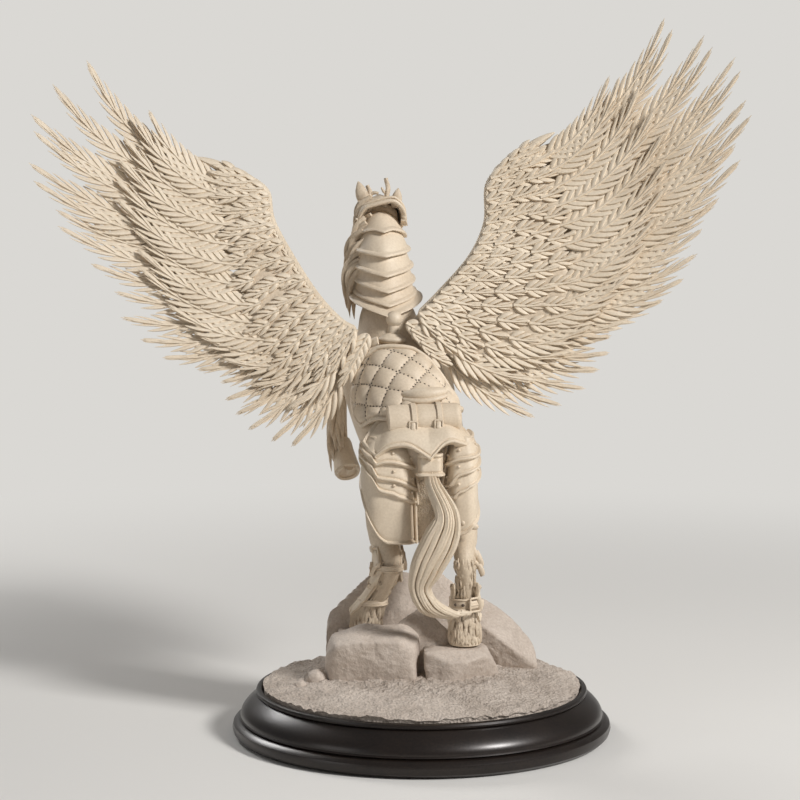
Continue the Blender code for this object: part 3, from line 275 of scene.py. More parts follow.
def quilt_finish():
    """Leather finish of the saddle with a row of stitch holes along every seam of its quilt, sunk by a bump
    and darkened with painted shade.
    """
    material = RESIN_LEATHER.copy()
    material.name = "cast_resin_quilt_with_hole_shade"
    tree = material.node_tree
    shader = tree.nodes["Principled BSDF"]
    flat = node(tree, "SeparateXYZ", [(0, node(tree, "UVMap", uv_map="quilt").outputs[0])])
    total = node(tree, "Math", [(0, flat.outputs[0]), (1, flat.outputs[1])], operation="ADD").outputs[0]
    difference = node(tree, "Math", [(0, flat.outputs[0]), (1, flat.outputs[1])],
                      operation="SUBTRACT").outputs[0]
    holes = None
    for over, along in ((total, difference), (difference, total)):
        away = node(tree, "Math", [(0, over), (1, 0.5)], operation="PINGPONG").outputs[0]
        step = node(tree, "Math", [(0, along), (1, 0.2)], operation="PINGPONG").outputs[0]
        step = node(tree, "Math", [(0, step), (1, 0.1)], operation="SUBTRACT").outputs[0]
        reach = node(tree, "CombineXYZ", [(0, away), (1, step)]).outputs[0]
        reach = node(tree, "VectorMath", [(0, reach), (1, (5, 5, 5))], operation="MULTIPLY").outputs[0]
        length = node(tree, "VectorMath", [(0, reach)], operation="LENGTH").outputs["Value"]
        hole = node(tree, "MapRange", [("Value", length), ("From Min", 0.14), ("From Max", 0.24),
                                       ("To Min", 1.0), ("To Max", 0.0)]).outputs[0]
        if holes:
            hole = node(tree, "Math", [(0, holes), (1, hole)], operation="MAXIMUM").outputs[0]
        holes = hole
    base = shader.inputs["Base Color"].links[0].from_socket
    # Painted shade: the holes are mixed toward the dark colour 5E5247, though the resin there has the same
    # colour; the bump below also sinks them
    painted_hole_shade = node(tree, "Mix", [(0, holes), (6, base), (7, colour("5E5247"))], data_type="RGBA")
    tree.links.new(painted_hole_shade.outputs[2], shader.inputs["Base Color"])
    bump = node(tree, "Bump", [("Height", holes), ("Strength", 1.0), ("Distance", -0.35 * MM),
                               ("Normal", shader.inputs["Normal"].links[0].from_socket)]).outputs[0]
    tree.links.new(bump, shader.inputs["Normal"])
    return material


RESIN_QUILT_HOLE_SHADE = quilt_finish()
# Turned hardwood form under satin black-bronze lacquer: dark, with soft long highlights
LACQUER = finish_of("satin_bronze_lacquer", "1C1613", "2A211B", 0.34, [("Noise", 0.5, 0.12, 0.04)],
                    metallic=0.35, coat=0.25, spread=0.05)


# Plinth, ground and rocks

PLINTH_PROFILE = [(57.3, 0.0), (58.6, 0.35), (59.6, 1.3), (60.0, 2.7), (59.7, 4.0), (58.7, 5.0),
                  (57.6, 5.35), (56.9, 5.5), (57.0, 5.7), (57.5, 5.75), (57.75, 6.0), (57.5, 6.3),
                  (57.35, 6.45)]
RIDGE_RADIUS = 57.4
WALL_LOW = 6.5
WALL_HIGH = 13.1
NECKING_RADIUS = 52.0
LIP_PROFILE = [(52.35, 13.25), (51.95, 13.3), (52.3, 13.5), (52.5, 14.1), (52.25, 14.7), (51.6, 15.0),
               (50.9, 14.95), (50.6, 14.7), (50.6, 12.4)]
EARTH_RADIUS = 50.3
EARTH_BOTTOM = 12.7
EARTH_EDGE = 15.4
EARTH_RISE = 2.4


def rings_from(profile, around):
    """Rings turned about the vertical axis from (radius, height) points in millimetres."""
    radius, height = np.asarray(profile, dtype=float).T
    turn = np.linspace(0, 2 * math.pi, around, endpoint=False)
    return np.stack([np.outer(radius, np.cos(turn)), np.outer(radius, np.sin(turn)),
                     np.outer(height, np.ones(around))], axis=-1) * MM


def make_plinth():
    """Turned plinth: foot bead, quirk, ridge, a wall that swells as a quarter wave, lip bead, recess."""
    swell = np.linspace(0, 1, 26)
    wall = np.stack([RIDGE_RADIUS - (RIDGE_RADIUS - NECKING_RADIUS) * (1 - np.cos(swell * math.pi / 2)),
                     WALL_LOW + (WALL_HIGH - WALL_LOW) * swell], axis=1)
    shape = Shape()
    shape.tubes(rings_from(PLINTH_PROFILE + [tuple(w) for w in wall] + LIP_PROFILE, 256))
    dress("turned_plinth", shape.mesh("plinth"), LACQUER, "plinth", 30)


def earth_height(x, y):
    """Height of the earth in millimetres: a low mound, higher behind the rocks, with clods and grit."""
    share = 1 - (x ** 2 + y ** 2) / EARTH_RADIUS ** 2
    back = np.exp(-((x + 4) / 30) ** 2 - ((y - 20) / 20) ** 2)
    spot = np.stack([x, y, 0 * x], axis=-1) * MM
    clods = 0.4 * layered(spot, 7, 3, 1) + 0.8 * np.abs(layered(spot, 3.4, 3, 5)) ** 0.7
    clods = clods + 0.35 * np.abs(layered(spot, 1.3, 2, 8))
    return EARTH_EDGE + EARTH_RISE * share + 3.2 * back * share + clods - 0.1


def make_ground():
    """Earth disc in the recess: a polar grid, with broken strata round its rim."""
    turn = np.linspace(0, 2 * math.pi, 270, endpoint=False)
    share = np.concatenate([np.linspace(1, 0.9, 12), np.linspace(0.89, 0.03, 60)])[:, None]
    x, y = EARTH_RADIUS * share * np.cos(turn), EARTH_RADIUS * share * np.sin(turn)
    top = np.stack([x, y, earth_height(x, y)], axis=-1)
    rise = np.linspace(0, 1, 12)[:, None]
    level = EARTH_BOTTOM + (top[:1, :, 2:] - EARTH_BOTTOM) * rise[:, :, None]
    side = top[:1] * np.array([1.0, 1.0, 0.0]) + np.array([0, 0, 1.0]) * level
    strata = np.clip(layered(side * np.array([1, 1, 3.5]) * MM, 4, 3, 9), -1, 1)
    flake = strata * (1 - np.abs(2 * rise - 1) ** 4)
    side = side * (1 - np.array([1.0, 1.0, 0.0]) * (0.006 + 0.012 * np.abs(flake))[..., None])
    shape = Shape()
    shape.tubes(np.concatenate([side[:-1], top]) * MM)
    dress("rough_earth", shape.mesh("earth"), RESIN_EARTH, "ground", 80)


ROCKS = {
    "boulder": [(-31, -6, 25), (-27, -9.4, 29.6), (-22, -9.6, 30.6), (-6, -10, 30.9), (-2, -8.6, 28),
                (-2, -9, 16), (-29, -6, 16), (-29, 2, 31), (-19, 1, 34.6), (-5, 1, 35), (-0.5, 1, 32),
                (-1, 5, 16), (-31, 5, 16), (-24, 6, 29.5), (-3, 5, 33)],
    "right_rock": [(0.5, -6, 27), (8.5, -9, 24.4), (15, -8, 24.2), (21, -3, 25.5), (25, 3, 20),
                   (26, 5, 15), (9, -10, 15), (0.8, -7, 15), (0.8, 10, 27.1), (18, 10, 27.1),
                   (21, 5, 27.1), (8, -3, 27.1), (17, -2.5, 27.1), (1, -1, 27.1), (2, 12, 15),
                   (24, 11, 15)],
    "rear_slab": [(-31, 20, 33), (-28, 22, 37), (-17, 29, 46), (7, 30, 46.5), (11, 29, 43), (14, 30, 34),
                  (20, 26, 15), (-31, 18, 15), (-25, 20, 29), (-12, 25, 34), (6, 24, 36), (10, 34, 15),
                  (-28, 34, 15), (-14, 38, 30)],
    "left_ledge": [(-26, 9, 29.7), (-9, 9, 29.7), (-8, 20, 29.7), (-27, 19, 29.7), (-29, 7, 15),
                   (-6, 7, 15), (-5, 24, 15), (-30, 24, 15)],
    "right_slab": [(19, 24, 39), (27, 23, 35), (32, 20, 30.5), (36.5, 16, 26), (38, 13, 17), (37, 24, 15),
                   (18, 28, 15), (16, 16, 15), (18.5, 12.5, 32.5), (34, 10.8, 20.5), (31, 13.5, 15),
                   (20, 28, 34)],
    "centre_rock": [(-8, 6, 34), (0.5, 12, 38), (9, 6, 31), (8, 2, 24), (-6, 1, 24), (-9, 14, 15),
                    (10, 14, 15), (9, 0, 15), (-8, 0, 15), (3, 17, 34)]}
# Height of the right rock's flat top, where the hoof stands, which chips don't raise
SEAT_HEIGHT = 27.1
# Power of the mean over a rock's planes: the higher, the sharper its edges
ROCK_SHARPNESS = 34
PEBBLES = [((-33, -4, 17.5), (3.2, 2.6, 3.4)), ((-38, -9, 16.8), (1.8, 1.6, 1.6)),
           ((31, -8, 16.4), (1.6, 1.4, 1.2))]


def hull_planes(corners):
    """Middle of given corners in mm, and outward normals and offsets of their hull's planes."""
    bm = bmesh.new()
    for corner in corners:
        bm.verts.new(corner)
    bmesh.ops.convex_hull(bm, input=bm.verts)
    bmesh.ops.dissolve_limit(bm, angle_limit=math.radians(6), verts=bm.verts, edges=bm.edges)
    bm.normal_update()
    middle = np.mean(corners, axis=0)
    normals = np.array([f.normal for f in bm.faces])
    offsets = np.array([f.normal.dot(f.verts[0].co) for f in bm.faces]) - normals @ middle
    bm.free()
    flip = np.sign(offsets)[:, None]
    return middle, normals * flip, np.abs(offsets)


def sphere_directions(rows, around):
    """Unit directions on rings from pole to pole, the poles themselves left open."""
    rise = np.linspace(-math.pi / 2, math.pi / 2, rows + 2)[1:-1, None]
    turn = np.linspace(0, 2 * math.pi, around, endpoint=False)
    return np.stack([np.cos(rise) * np.cos(turn), np.cos(rise) * np.sin(turn), np.sin(rise) + 0 * turn],
                    axis=-1)


def make_rocks():
    """Rocks and pebbles: along each direction a rock's radius is a p-norm of the distances to its planes.

    That wears its edges, and layered noise chips its faces.
    """
    for seed, (name, corners) in enumerate(ROCKS.items()):
        middle, normals, offsets = hull_planes(corners)
        way = sphere_directions(66, 116)
        closeness = np.clip(way @ normals.T, 0, None) / offsets
        radius = (closeness ** ROCK_SHARPNESS).sum(axis=-1) ** (-1 / ROCK_SHARPNESS)
        points = middle + way * radius[..., None]
        chips = 0.5 * layered(points * MM, 9, 3, seed)
        chips = chips - 0.35 * np.abs(layered(points * MM, 5, 4, seed + 20))
        seat = np.clip((SEAT_HEIGHT - points[..., 2]) / 1.5, 0.25, 1) if name == "right_rock" else 1.0
        points = points + way * (chips * seat - 0.05)[..., None]
        shape = Shape()
        shape.tubes(points * MM)
        dress("rock_" + name, shape.mesh(name), RESIN_STONE, "ground", 50)
    shape = Shape()
    way = sphere_directions(30, 48)
    for centre, radii in PEBBLES:
        swell = 1 + 0.12 * layered(way * 0.02, 12, 3, 3)
        points = np.asarray(centre) + way * np.asarray(radii) * swell[..., None]
        shape.tubes(points * MM)
    dress("pebbles", shape.mesh("pebbles"), RESIN_STONE, "ground", 60)


make_plinth()
make_ground()
make_rocks()


# Horse

TRUNK = [(2.4, -1, 80, 5, 5), (2.0, 0.5, 83, 11, 9), (0.4, 3.5, 86.5, 15.5, 13), (-1.4, 9, 91, 17, 15.5),
         (-4.3, 17, 96, 15.9, 16.5), (-7.2, 27, 104, 15, 17.2), (-10.2, 37, 112, 13, 16.8),
         (-12.5, 44, 117.5, 10, 14), (-13.5, 49, 121, 4, 7)]
NECK_LINE = [(-10.9, 44, 124, 8.9, 15), (-11.4, 45.5, 132, 8.7, 13.5), (-12.0, 46.5, 140, 8.4, 12.5),
             (-12.5, 47.5, 148, 7.9, 11.2), (-12.9, 49, 156, 6.8, 10.0), (-13.2, 53, 161.5, 5.0, 7.6)]
CRINET_TIPS = [156.8, 148.9, 142.5, 137.4, 133.0]
CRINET_TWIST = 0.11
CRINET_DROPS = [0.0, 2.2, 3.6, 4.2, 4.4]
CRINET_TOP = 162.9
HEAD = [(-13.4, 45, 162.5, 5, 5), (-13.4, 49.5, 161.3, 6.8, 6.8), (-14, 56, 158.5, 6.2, 9.0),
        (-14.8, 63, 152, 4.8, 6.4), (-15.5, 68.5, 146.5, 3.8, 4.7), (-16.0, 73, 142, 4.0, 4.5),
        (-16.2, 75.3, 139.6, 2.8, 3.0)]
CHEST = [(-6, 30, 107, 12, 13), (-9, 39, 114, 12.5, 15), (-10.5, 44, 123, 10.5, 15.5),
         (-11, 46, 131, 9.2, 13.4)]
TAIL = [(3.0, -9, 85, 2.0, 1.8), (3.4, -13.5, 81, 2.6, 2.0), (7.4, -16.5, 72, 3.9, 2.2),
        (5.6, -16, 65, 5.6, 2.4), (1.4, -14.5, 56, 5.2, 2.3), (-0.6, -13, 49, 3.6, 2.0),
        (2.0, -12.3, 43.4, 3.2, 1.8), (8.5, -10, 40.2, 2.0, 1.4), (15.4, -8, 39.8, 0.7, 0.6)]
HIND_LEGS = {
    "right": [(11.5, 4, 84, 6, 9), (12.8, 8, 72, 5, 8), (13.6, 4, 63, 4.4, 6),
              (13.3, -5.5, 56.5, 3.4, 3.8), (13.9, -3, 47, 2.7, 3.0), (13.5, 1.5, 39.5, 3.6, 3.6),
              (13.7, 2.6, 34.5, 4.4, 4.4)],
    "left": [(-9.8, 6, 84, 8, 11), (-11.0, 11, 71, 7.4, 9), (-11.5, 8, 61.5, 5.6, 6.2),
             (-10, 0.8, 54, 3.6, 3.8), (-11.5, 4, 47, 3.0, 3.1), (-15, 9.5, 41, 3.8, 3.8),
             (-17.4, 12, 37, 4.4, 4.4)]}
FORELEGS = {
    "left": [(-16, 42, 116, 6, 8), (-23, 50, 110, 6, 7), (-27, 60, 105, 4.4, 5),
             (-28.5, 66, 99, 3.6, 3.8), (-28, 61, 90, 2.6, 2.8), (-26.5, 55, 83, 3.2, 3.4)],
    "right": [(-6, 46, 116, 6, 8), (1.5, 55, 114, 5.6, 6.5), (6, 66, 115, 4.2, 4.8),
              (8, 73, 113, 3.6, 3.8), (9.5, 75, 103, 2.6, 2.8), (10, 73.5, 96, 3.2, 3.4)]}
FOREHOOVES = {"left": ((-26.8, 57.5, 85.5), (-24.4, 49.5, 76.5)),
              "right": ((9.9, 74.5, 99), (10.4, 71, 88.5))}
HOOF_SEATS = {"right": (13.8, 3.0, 27.4), "left": (-17.8, 12.5, 30.0)}
# Locks of the feathering and of the fur above it: number, highest and lowest root over the hoof's foot,
# drop, distance of the ends from the leg's axis as a share of its radius, half width
FUR_ROWS = ((90, 11.0, 6.0, 5.0, 1.05, 0.45), (90, 7.5, 2.0, 3.2, 1.03, 0.45),
            (200, 30.0, 9.0, 3.2, 0.96, 0.32))
# Greaves and hock lames: side, first and last degree round the leg, lower and upper height, radius
GREAVES = (("right", -38, 218, 35.5, 48.5, 4.4), ("left", 10, 235, 46.0, 53.5, 4.5),
           ("left", 15, 240, 51.5, 59.0, 5.0), ("left", 60, 238, 36.5, 48.5, 4.7))
# Hanging tabs beside the right leg: place across, top, length, half width
TABS = ((16.6, 60.5, 5.5, 0.9), (18.0, 58.8, 5.6, 1.0), (18.4, 55.5, 5.0, 0.9), (15.4, 61.5, 3.6, 0.8),
        (17.0, 56.5, 3.6, 0.8), (17.9, 47.0, 8.0, 0.8))
# Haunch armour: middle across at the foot and at the top, middle in depth, half widths there, half depth
HAUNCHES = {"left": (-10.2, -11.0, 4.0, 7.6, 8.3, 14.0), "right": (12.8, 12.6, 3.0, 4.6, 4.7, 13.0)}
HAUNCH_BOTTOM = 58.5
HAUNCH_TOP = 94.5
HAUNCH_DEPTHS = ((58.5, 0.84), (66, 0.93), (74, 1.0), (86, 1.0), (91, 0.97), (94, 0.86), (97, 0.66))
# Lower edges of the thigh plate and of the three lames above it: turn in degrees, 0 behind and growing
# outwards, and height
HAUNCH_EDGES = {
    "left": [[(-76, 61), (0, 61.7), (10, 63.6), (27, 67.6), (45, 72), (70, 77.5), (150, 84)],
             [(-76, 73.5), (-12, 76.5), (8, 78.8), (20, 82.4), (45, 85.6), (90, 88)],
             [(-76, 77.5), (-15, 81.2), (9, 82.6), (20, 86), (45, 88), (90, 89.4)],
             [(-76, 84.5), (0, 87.6), (11, 86.6), (20, 89), (60, 91)]],
    "right": [[(-76, 64.2), (-5, 64.3), (25, 67), (60, 69), (150, 75)],
              [(-76, 75), (-17, 76.3), (10, 79.6), (90, 83)],
              [(-76, 79), (-32, 80), (2, 84.1), (90, 87)],
              [(-76, 85.5), (-27, 87.3), (0, 88.6), (90, 90)]]}
# Croup plate: its scalloped lower edge and its upper edge under the bedroll, point by point
CROUP_LOWER = [(-18.9, -4.5, 93.2), (-14.5, -11.4, 89.4), (-11.2, -12, 91.9), (-7.6, -12.3, 92.9),
               (-3.4, -12.8, 92.5), (2.7, -14, 88.9), (6.6, -12.4, 93), (9.5, -11.8, 94.1),
               (12.5, -10.5, 93.3), (17.4, -5, 91.6)]
CROUP_UPPER = [(-13.5, 1.0, 99.6), (-10.5, -0.4, 100.5), (-8.5, -0.8, 100.8), (-6, -1.2, 101),
               (-3, -1.6, 101), (1.5, -2, 101), (5, -1.6, 100.6), (7.5, -1, 100), (10, 0, 98.8),
               (12.6, 1.5, 97.4)]
CROUP_BULGE = (0.0, -3.2, 3.4)
MAIL = [(2.7, 0, 84, 5.4, 4), (2.7, -1, 74, 5.0, 3), (3.0, 1, 61, 4.2, 2.4)]
# Spacing of the mail's rings across and up
RING_WIDE = 1.15
RING_TALL = 0.95
EARS = (((-18.6, 51.5, 166), (-20.7, 50.5, 173.4)), ((-8.3, 51.5, 165), (-7.4, 50.5, 171.2)))
TWIGS = ([(-12.0, 51, 165, 1, 1), (-10.9, 51.6, 170.8, 0.8, 0.8), (-11.5, 51.6, 174.5, 0.65, 0.65)],
         [(-17.4, 51, 165, 1, 1), (-16.8, 51.6, 169.4, 0.8, 0.8), (-17.7, 51.6, 172.1, 0.6, 0.6)])
BEDROLL_CENTRE = (0.8, -3.4, 100.5)
BEDROLL_AXIS = (1.0, 0.10, 0.05)
BEDROLL_LENGTH = 23.4
BEDROLL_RADIUS = 4.8
POMMEL_CENTRE = (-9.4, 27.5, 122.8)
POMMEL_RADII = (4.6, 3.4, 1.6)
KNOB_CENTRE = (-8.7, 28.5, 129.4)
KNOB_RADII = (2.7, 2.7, 2.6)
KNOB_POST = [(-9.2, 29, 121, 2.4, 2.4), (-8.8, 28.7, 128, 1.8, 1.8)]
# Saddle: shares of the trunk's length at its rear and front edges by turn in degrees
SADDLE_REAR = [(-85, 0.53), (-77, 0.45), (-55, 0.395), (-40, 0.35), (-20, 0.335), (22, 0.36), (46, 0.4),
               (66, 0.47)]
SADDLE_FRONT = [(-85, 0.64), (-70, 0.69), (-33, 0.69), (-9, 0.667), (8, 0.655), (26, 0.62), (46, 0.56),
                (66, 0.485)]


def sweep(points, steps, around, side=(1, 0, 0), swell=None):
    """Rings of ellipses square to a smooth path through points (x, y, z, half width, half depth)."""
    path = smooth(points, np.linspace(0, 1, steps))
    centre = path[:, :3]
    along = unit(np.gradient(centre, axis=0))
    wide = np.asarray(side, dtype=float) - along * (along @ np.asarray(side, dtype=float))[:, None]
    wide = unit(wide)
    deep = np.cross(along, wide)
    turn = np.linspace(0, 2 * math.pi, around, endpoint=False)
    size = 1.0 if swell is None else swell(np.linspace(0, 1, steps)[:, None], turn[None])
    ring = wide[:, None] * (path[:, 3:4] * np.cos(turn) * size)[..., None]
    ring = ring + deep[:, None] * (path[:, 4:5] * np.sin(turn) * size)[..., None]
    return (centre[:, None] + ring) * MM


def trunk_frame(s):
    """Centre, right, dorsal directions and half sizes of the trunk at shares s of its length."""
    path = smooth(TRUNK, s)
    ahead, behind = smooth(TRUNK, np.clip(s + 0.01, 0, 1)), smooth(TRUNK, np.clip(s - 0.01, 0, 1))
    forward = unit((ahead - behind)[..., :3])
    right = unit(np.cross(forward, np.array([0.0, 0.0, 1.0])))
    return path[..., :3], right, np.cross(right, forward), path[..., 3], path[..., 4]


def on_trunk(s, turn, lift):
    """Points of the trunk's skin, moved out by lift; turn is 0 on the back and grows to its right."""
    s, turn, lift = np.broadcast_arrays(s, turn, lift)
    centre, right, dorsal, wide, deep = trunk_frame(s)
    sine, cosine = np.sin(turn), np.cos(turn)
    out = unit(right * (deep * sine)[..., None] + dorsal * (wide * cosine)[..., None])
    skin = centre + right * (wide * sine)[..., None] + dorsal * (deep * cosine)[..., None]
    return (skin + out * lift[..., None]) * MM


def border(distance, width, height):
    """Rolled border of a plate: half a circle of the given width, from distances to its edge in mm."""
    x = (np.asarray(distance) - width / 2) / (width / 2)
    return height * np.sqrt(np.clip(1 - x ** 2, 0, 1))


def make_skin():
    """Hide of the horse: trunk, neck, head and legs swept as tubes, then joined and softened."""
    shape = Shape()
    shape.tubes(sweep(TRUNK, 60, 48, (0, 0, 1)))
    shape.tubes(sweep(CHEST, 30, 40))
    shape.tubes(sweep(np.asarray(NECK_LINE[:-1]) - (0, 0, 0, 1.2, 1.8), 30, 40))
    shape.tubes(sweep(HEAD[1:], 40, 36))
    for side in ("left", "right"):
        shape.tubes(sweep(HIND_LEGS[side], 60, 32))
        shape.tubes(sweep(FORELEGS[side], 50, 30))
    raw = bpy.data.objects.new("raw_skin", shape.mesh("raw"))
    bpy.context.collection.objects.link(raw)
    grid = raw.modifiers.new("grid", "REMESH")
    grid.mode = "VOXEL"
    grid.voxel_size = 1.1 * MM
    mesh = bpy.data.meshes.new_from_object(raw.evaluated_get(bpy.context.evaluated_depsgraph_get()))
    bpy.data.objects.remove(raw, do_unlink=True)
    count = len(mesh.vertices)
    points = np.empty(count * 3)
    mesh.vertices.foreach_get("co", points)
    points = points.reshape(-1, 3)
    pairs = np.empty(len(mesh.edges) * 2, dtype=np.int32)
    mesh.edges.foreach_get("vertices", pairs)
    a, b = pairs.reshape(-1, 2).T
    degree = np.bincount(a, minlength=count) + np.bincount(b, minlength=count)
    for _ in range(9):
        total = np.stack([np.bincount(a, points[b, k], count) + np.bincount(b, points[a, k], count)
                          for k in range(3)], 1)
        points = points * 0.4 + 0.6 * total / degree[:, None]
    mesh.vertices.foreach_set("co", points.astype(np.float32).ravel())
    mesh.update()
    dress("hide", mesh, RESIN_HIDE, "pegasus_body", 80)


def neck_at(height, turn, lift):
    """Points round the neck at a height, with turn 0 behind, moved out by lift, all in millimetres."""
    low, high = NECK_LINE[0][2], NECK_LINE[-1][2]
    path = smooth(NECK_LINE, (height - low) / (high - low))
    return np.stack([path[..., 0] + (path[..., 3] + lift) * np.sin(turn),
                     path[..., 1] - (path[..., 4] + lift) * np.cos(turn), height], axis=-1) * MM


def make_crinet():
    """Five neck lames and a collar: each flares to a rolled, pointed lower edge and has a keel."""
    turn = np.radians(np.linspace(-122, 122, 73))[None]
    away = np.minimum(np.abs(turn) / math.radians(95), 1.0)
    down = close_rows(0.0, 1.0, 24, 2.0)[:, None]
    tops = [CRINET_TOP - 1.5] + CRINET_TIPS
    tips = CRINET_TIPS + [129.8]
    top_drops = [0.0] + CRINET_DROPS
    drops = CRINET_DROPS + [6.5]
    flares = [1.3, 1.5, 1.5, 1.5, 1.5, 3.4]
    shape = Shape()
    for top, tip, top_drop, drop, flare in zip(tops, tips, top_drops, drops, flares):
        first = top > CRINET_TIPS[0]
        high = top + top_drop * away + 2.2
        low = tip + drop * away + (0.9 * np.minimum(away / 0.25, 1) - 3.0 * away ** 2 if first else 0.0)
        height = high + (low - high) * down
        dome = 3.6 * np.clip(1 - down / 0.4, 0, 1) ** 2 if first else 0.0
        keel = down ** 2.5 * np.clip(1 - np.abs(turn) / math.radians(20), 0, 1)
        flared = flare * down ** 1.6
        lift = 0.25 + flared + border(height - low, 1.35, 0.7) + keel - dome
        around = turn + CRINET_TWIST + 0 * down
        under = np.minimum(lift - 1.0, flared - 0.5)
        shape.plates(neck_at(height, around, lift), neck_at(height, around, under))
    dress("crinet_lames", shape.mesh("crinet"), RESIN, "pegasus_body", 35)


def sheet(shape, grid, inside, thick, edge, rise, relief=0.0):
    """Plate over a grid of points in millimetres, with a rolled border at its edges and a relief.

    Both are raised along the grid's normals, which point away from the inside point.
    """
    u = np.cumsum(np.linalg.norm(np.diff(grid, axis=1, prepend=grid[:, :1]), axis=-1), axis=1)
    v = np.cumsum(np.linalg.norm(np.diff(grid, axis=0, prepend=grid[:1]), axis=-1), axis=0)
    near = np.minimum(np.minimum(u, u[:, -1:] - u), np.minimum(v, v[-1:] - v))
    normal = unit(np.cross(np.gradient(grid, axis=1), np.gradient(grid, axis=0)))
    normal = normal * np.sign(((grid - np.asarray(inside)) * normal).sum())
    out = border(near, edge, rise) - 0.35 * np.exp(-((near - edge * 1.25) / 0.3) ** 2) + relief
    shape.plates((grid + normal * out[..., None]) * MM, (grid - normal * thick) * MM)


def close_rows(start, end, count, finer):
    """Shares from start to end that lie closer together near the end."""
    return start + (end - start) * (1 - (1 - np.linspace(0, 1, count)) ** finer)


def cusped(points, cuts, counts):
    """Curve through points that turns sharply at the given ones and is smooth between them."""
    runs = [smooth(points[a:b + 1], np.linspace(0, 1, n, endpoint=False))
            for a, b, n in zip(cuts, cuts[1:], counts)]
    return np.concatenate(runs + [np.asarray(points[-1:], dtype=float)])


def make_croup():
    """Domed croup plate with a scalloped edge and a central point, and the guard plate over the tail."""
    shape = Shape()
    cuts, counts = (0, 1, 5, 9), (12, 56, 50)
    lower, upper = cusped(CROUP_LOWER, cuts, counts), cusped(CROUP_UPPER, cuts, counts)
    across = np.linspace(-1, 1, len(lower))[:, None]
    middle = (lower + upper) / 2 + np.asarray(CROUP_BULGE) * (1 - 0.6 * across ** 4)
    t = close_rows(1.0, 0.0, 42, 1.8)[:, None, None]
    grid = lower * (1 - t) ** 2 + 2 * middle * t * (1 - t) + upper * t ** 2
    sheet(shape, grid, (-1, 6, 88), 2.2, 1.1, 0.45)
    x = np.linspace(-1, 1, 40)[None]
    drop = np.linspace(0, 1, 40)[:, None]
    grid = np.stack([2.6 + 3.9 * x + 0 * drop, -12.0 - 0.9 * drop + 3.2 * np.abs(x) ** 8,
                     90.5 - 6.9 * drop + 0 * x], -1)
    sheet(shape, grid, (2.6, 0, 87), 2.5, 1.0, 0.3, 0.7 * np.exp(-((1 - drop) / 0.13) ** 4) + 0 * x)
    dress("croup_plates", shape.mesh("croup"), RESIN, "pegasus_body", 35)


def haunch_point(side, height, turn, lift):
    """Points in millimetres round the armoured haunch: a squarish oval, narrower at foot and top."""
    x_low, x_high, y, wide_low, wide_high, deep = HAUNCHES[side]
    outward = -1 if side == "left" else 1
    share = np.clip((height - HAUNCH_BOTTOM) / (HAUNCH_TOP - HAUNCH_BOTTOM), 0, 1)
    levels, sizes = np.asarray(HAUNCH_DEPTHS, dtype=float).T
    narrowing = np.interp(height, (84, 90, 97), (1, 0.9, 0.62))
    wide = (wide_low + (wide_high - wide_low) * share) * narrowing + lift
    behind = deep * np.interp(height, levels, sizes) + lift
    across = wide * np.sign(np.sin(turn)) * np.abs(np.sin(turn)) ** 0.6 * outward
    back = behind * np.sign(np.cos(turn)) * np.abs(np.cos(turn)) ** 0.6
    return np.stack([x_low + (x_high - x_low) * share + across, y - back, height + 0 * turn], axis=-1)


def make_haunches():
    """Deep thigh plate and three riveted lames over it on each side, flared to a rolled lower edge."""
    shape = Shape()
    rivets = []
    down = close_rows(0.0, 1.0, 22, 2.0)[:, None]
    for side in ("left", "right"):
        first = -76 if side == "left" else -66
        degrees = np.unique(np.concatenate([np.linspace(first, 150, 72), [8, 9, 10, 20]]))
        turn = np.radians(degrees)[None]
        edges = [np.interp(degrees, *np.asarray(edge, dtype=float).T)[None] for edge in HAUNCH_EDGES[side]]
        tops = [edge + 2.6 for edge in edges[1:]] + [HAUNCH_TOP + 1.0 + 0 * edges[0]]
        for k, (low, top) in enumerate(zip(edges, tops)):
            height = top + (low - top) * down
            flare = (0.5, 1.0, 1.2, 1.4)[k]
            grid = haunch_point(side, height, turn, 0.2 + flare * down ** 1.6)
            middle = (HAUNCHES[side][0], HAUNCHES[side][2], 78.0)
            sheet(shape, grid, middle, 1.3, 1.0, 0.42)
            rise = np.linspace(low[0, 0] + 0.1, top[0, 0] - 0.4, 12)
            rim = haunch_point(side, rise, math.radians(first + 4), np.linspace(0.9 + flare * 0.8, 0.9, 12))
            shape.tubes(sweep(np.column_stack([rim, np.full(12, 0.5), np.full(12, 0.9)]), 30, 12))
            for place in (-50, -5, 60):
                if k:
                    level = np.array(np.interp(place, degrees, low[0]) + 3.2)
                    rivets.append(haunch_point(side, level, np.radians(place), 0.5 + flare * 0.35))
    way = sphere_directions(8, 14)
    shape.tubes((np.array(rivets)[:, None, None] + way * 0.5) * MM)
    plate_x, plate_z = HAUNCHES["right"][0] + 3.6, 66.6
    for x, z, radii in ((plate_x, plate_z + 0.6, (1.5, 0.8, 1.0)),
                        (plate_x - 3.6, plate_z + 2.0, (0.75, 0.5, 0.75))):
        spot = haunch_point("right", np.array(z), np.arcsin((x - HAUNCHES["right"][0]) / 6.5), 0.4)
        shape.tubes((spot + sphere_directions(16, 24) * np.asarray(radii)) * MM)
    dress("haunch_lames", shape.mesh("haunches"), RESIN, "pegasus_body", 35)


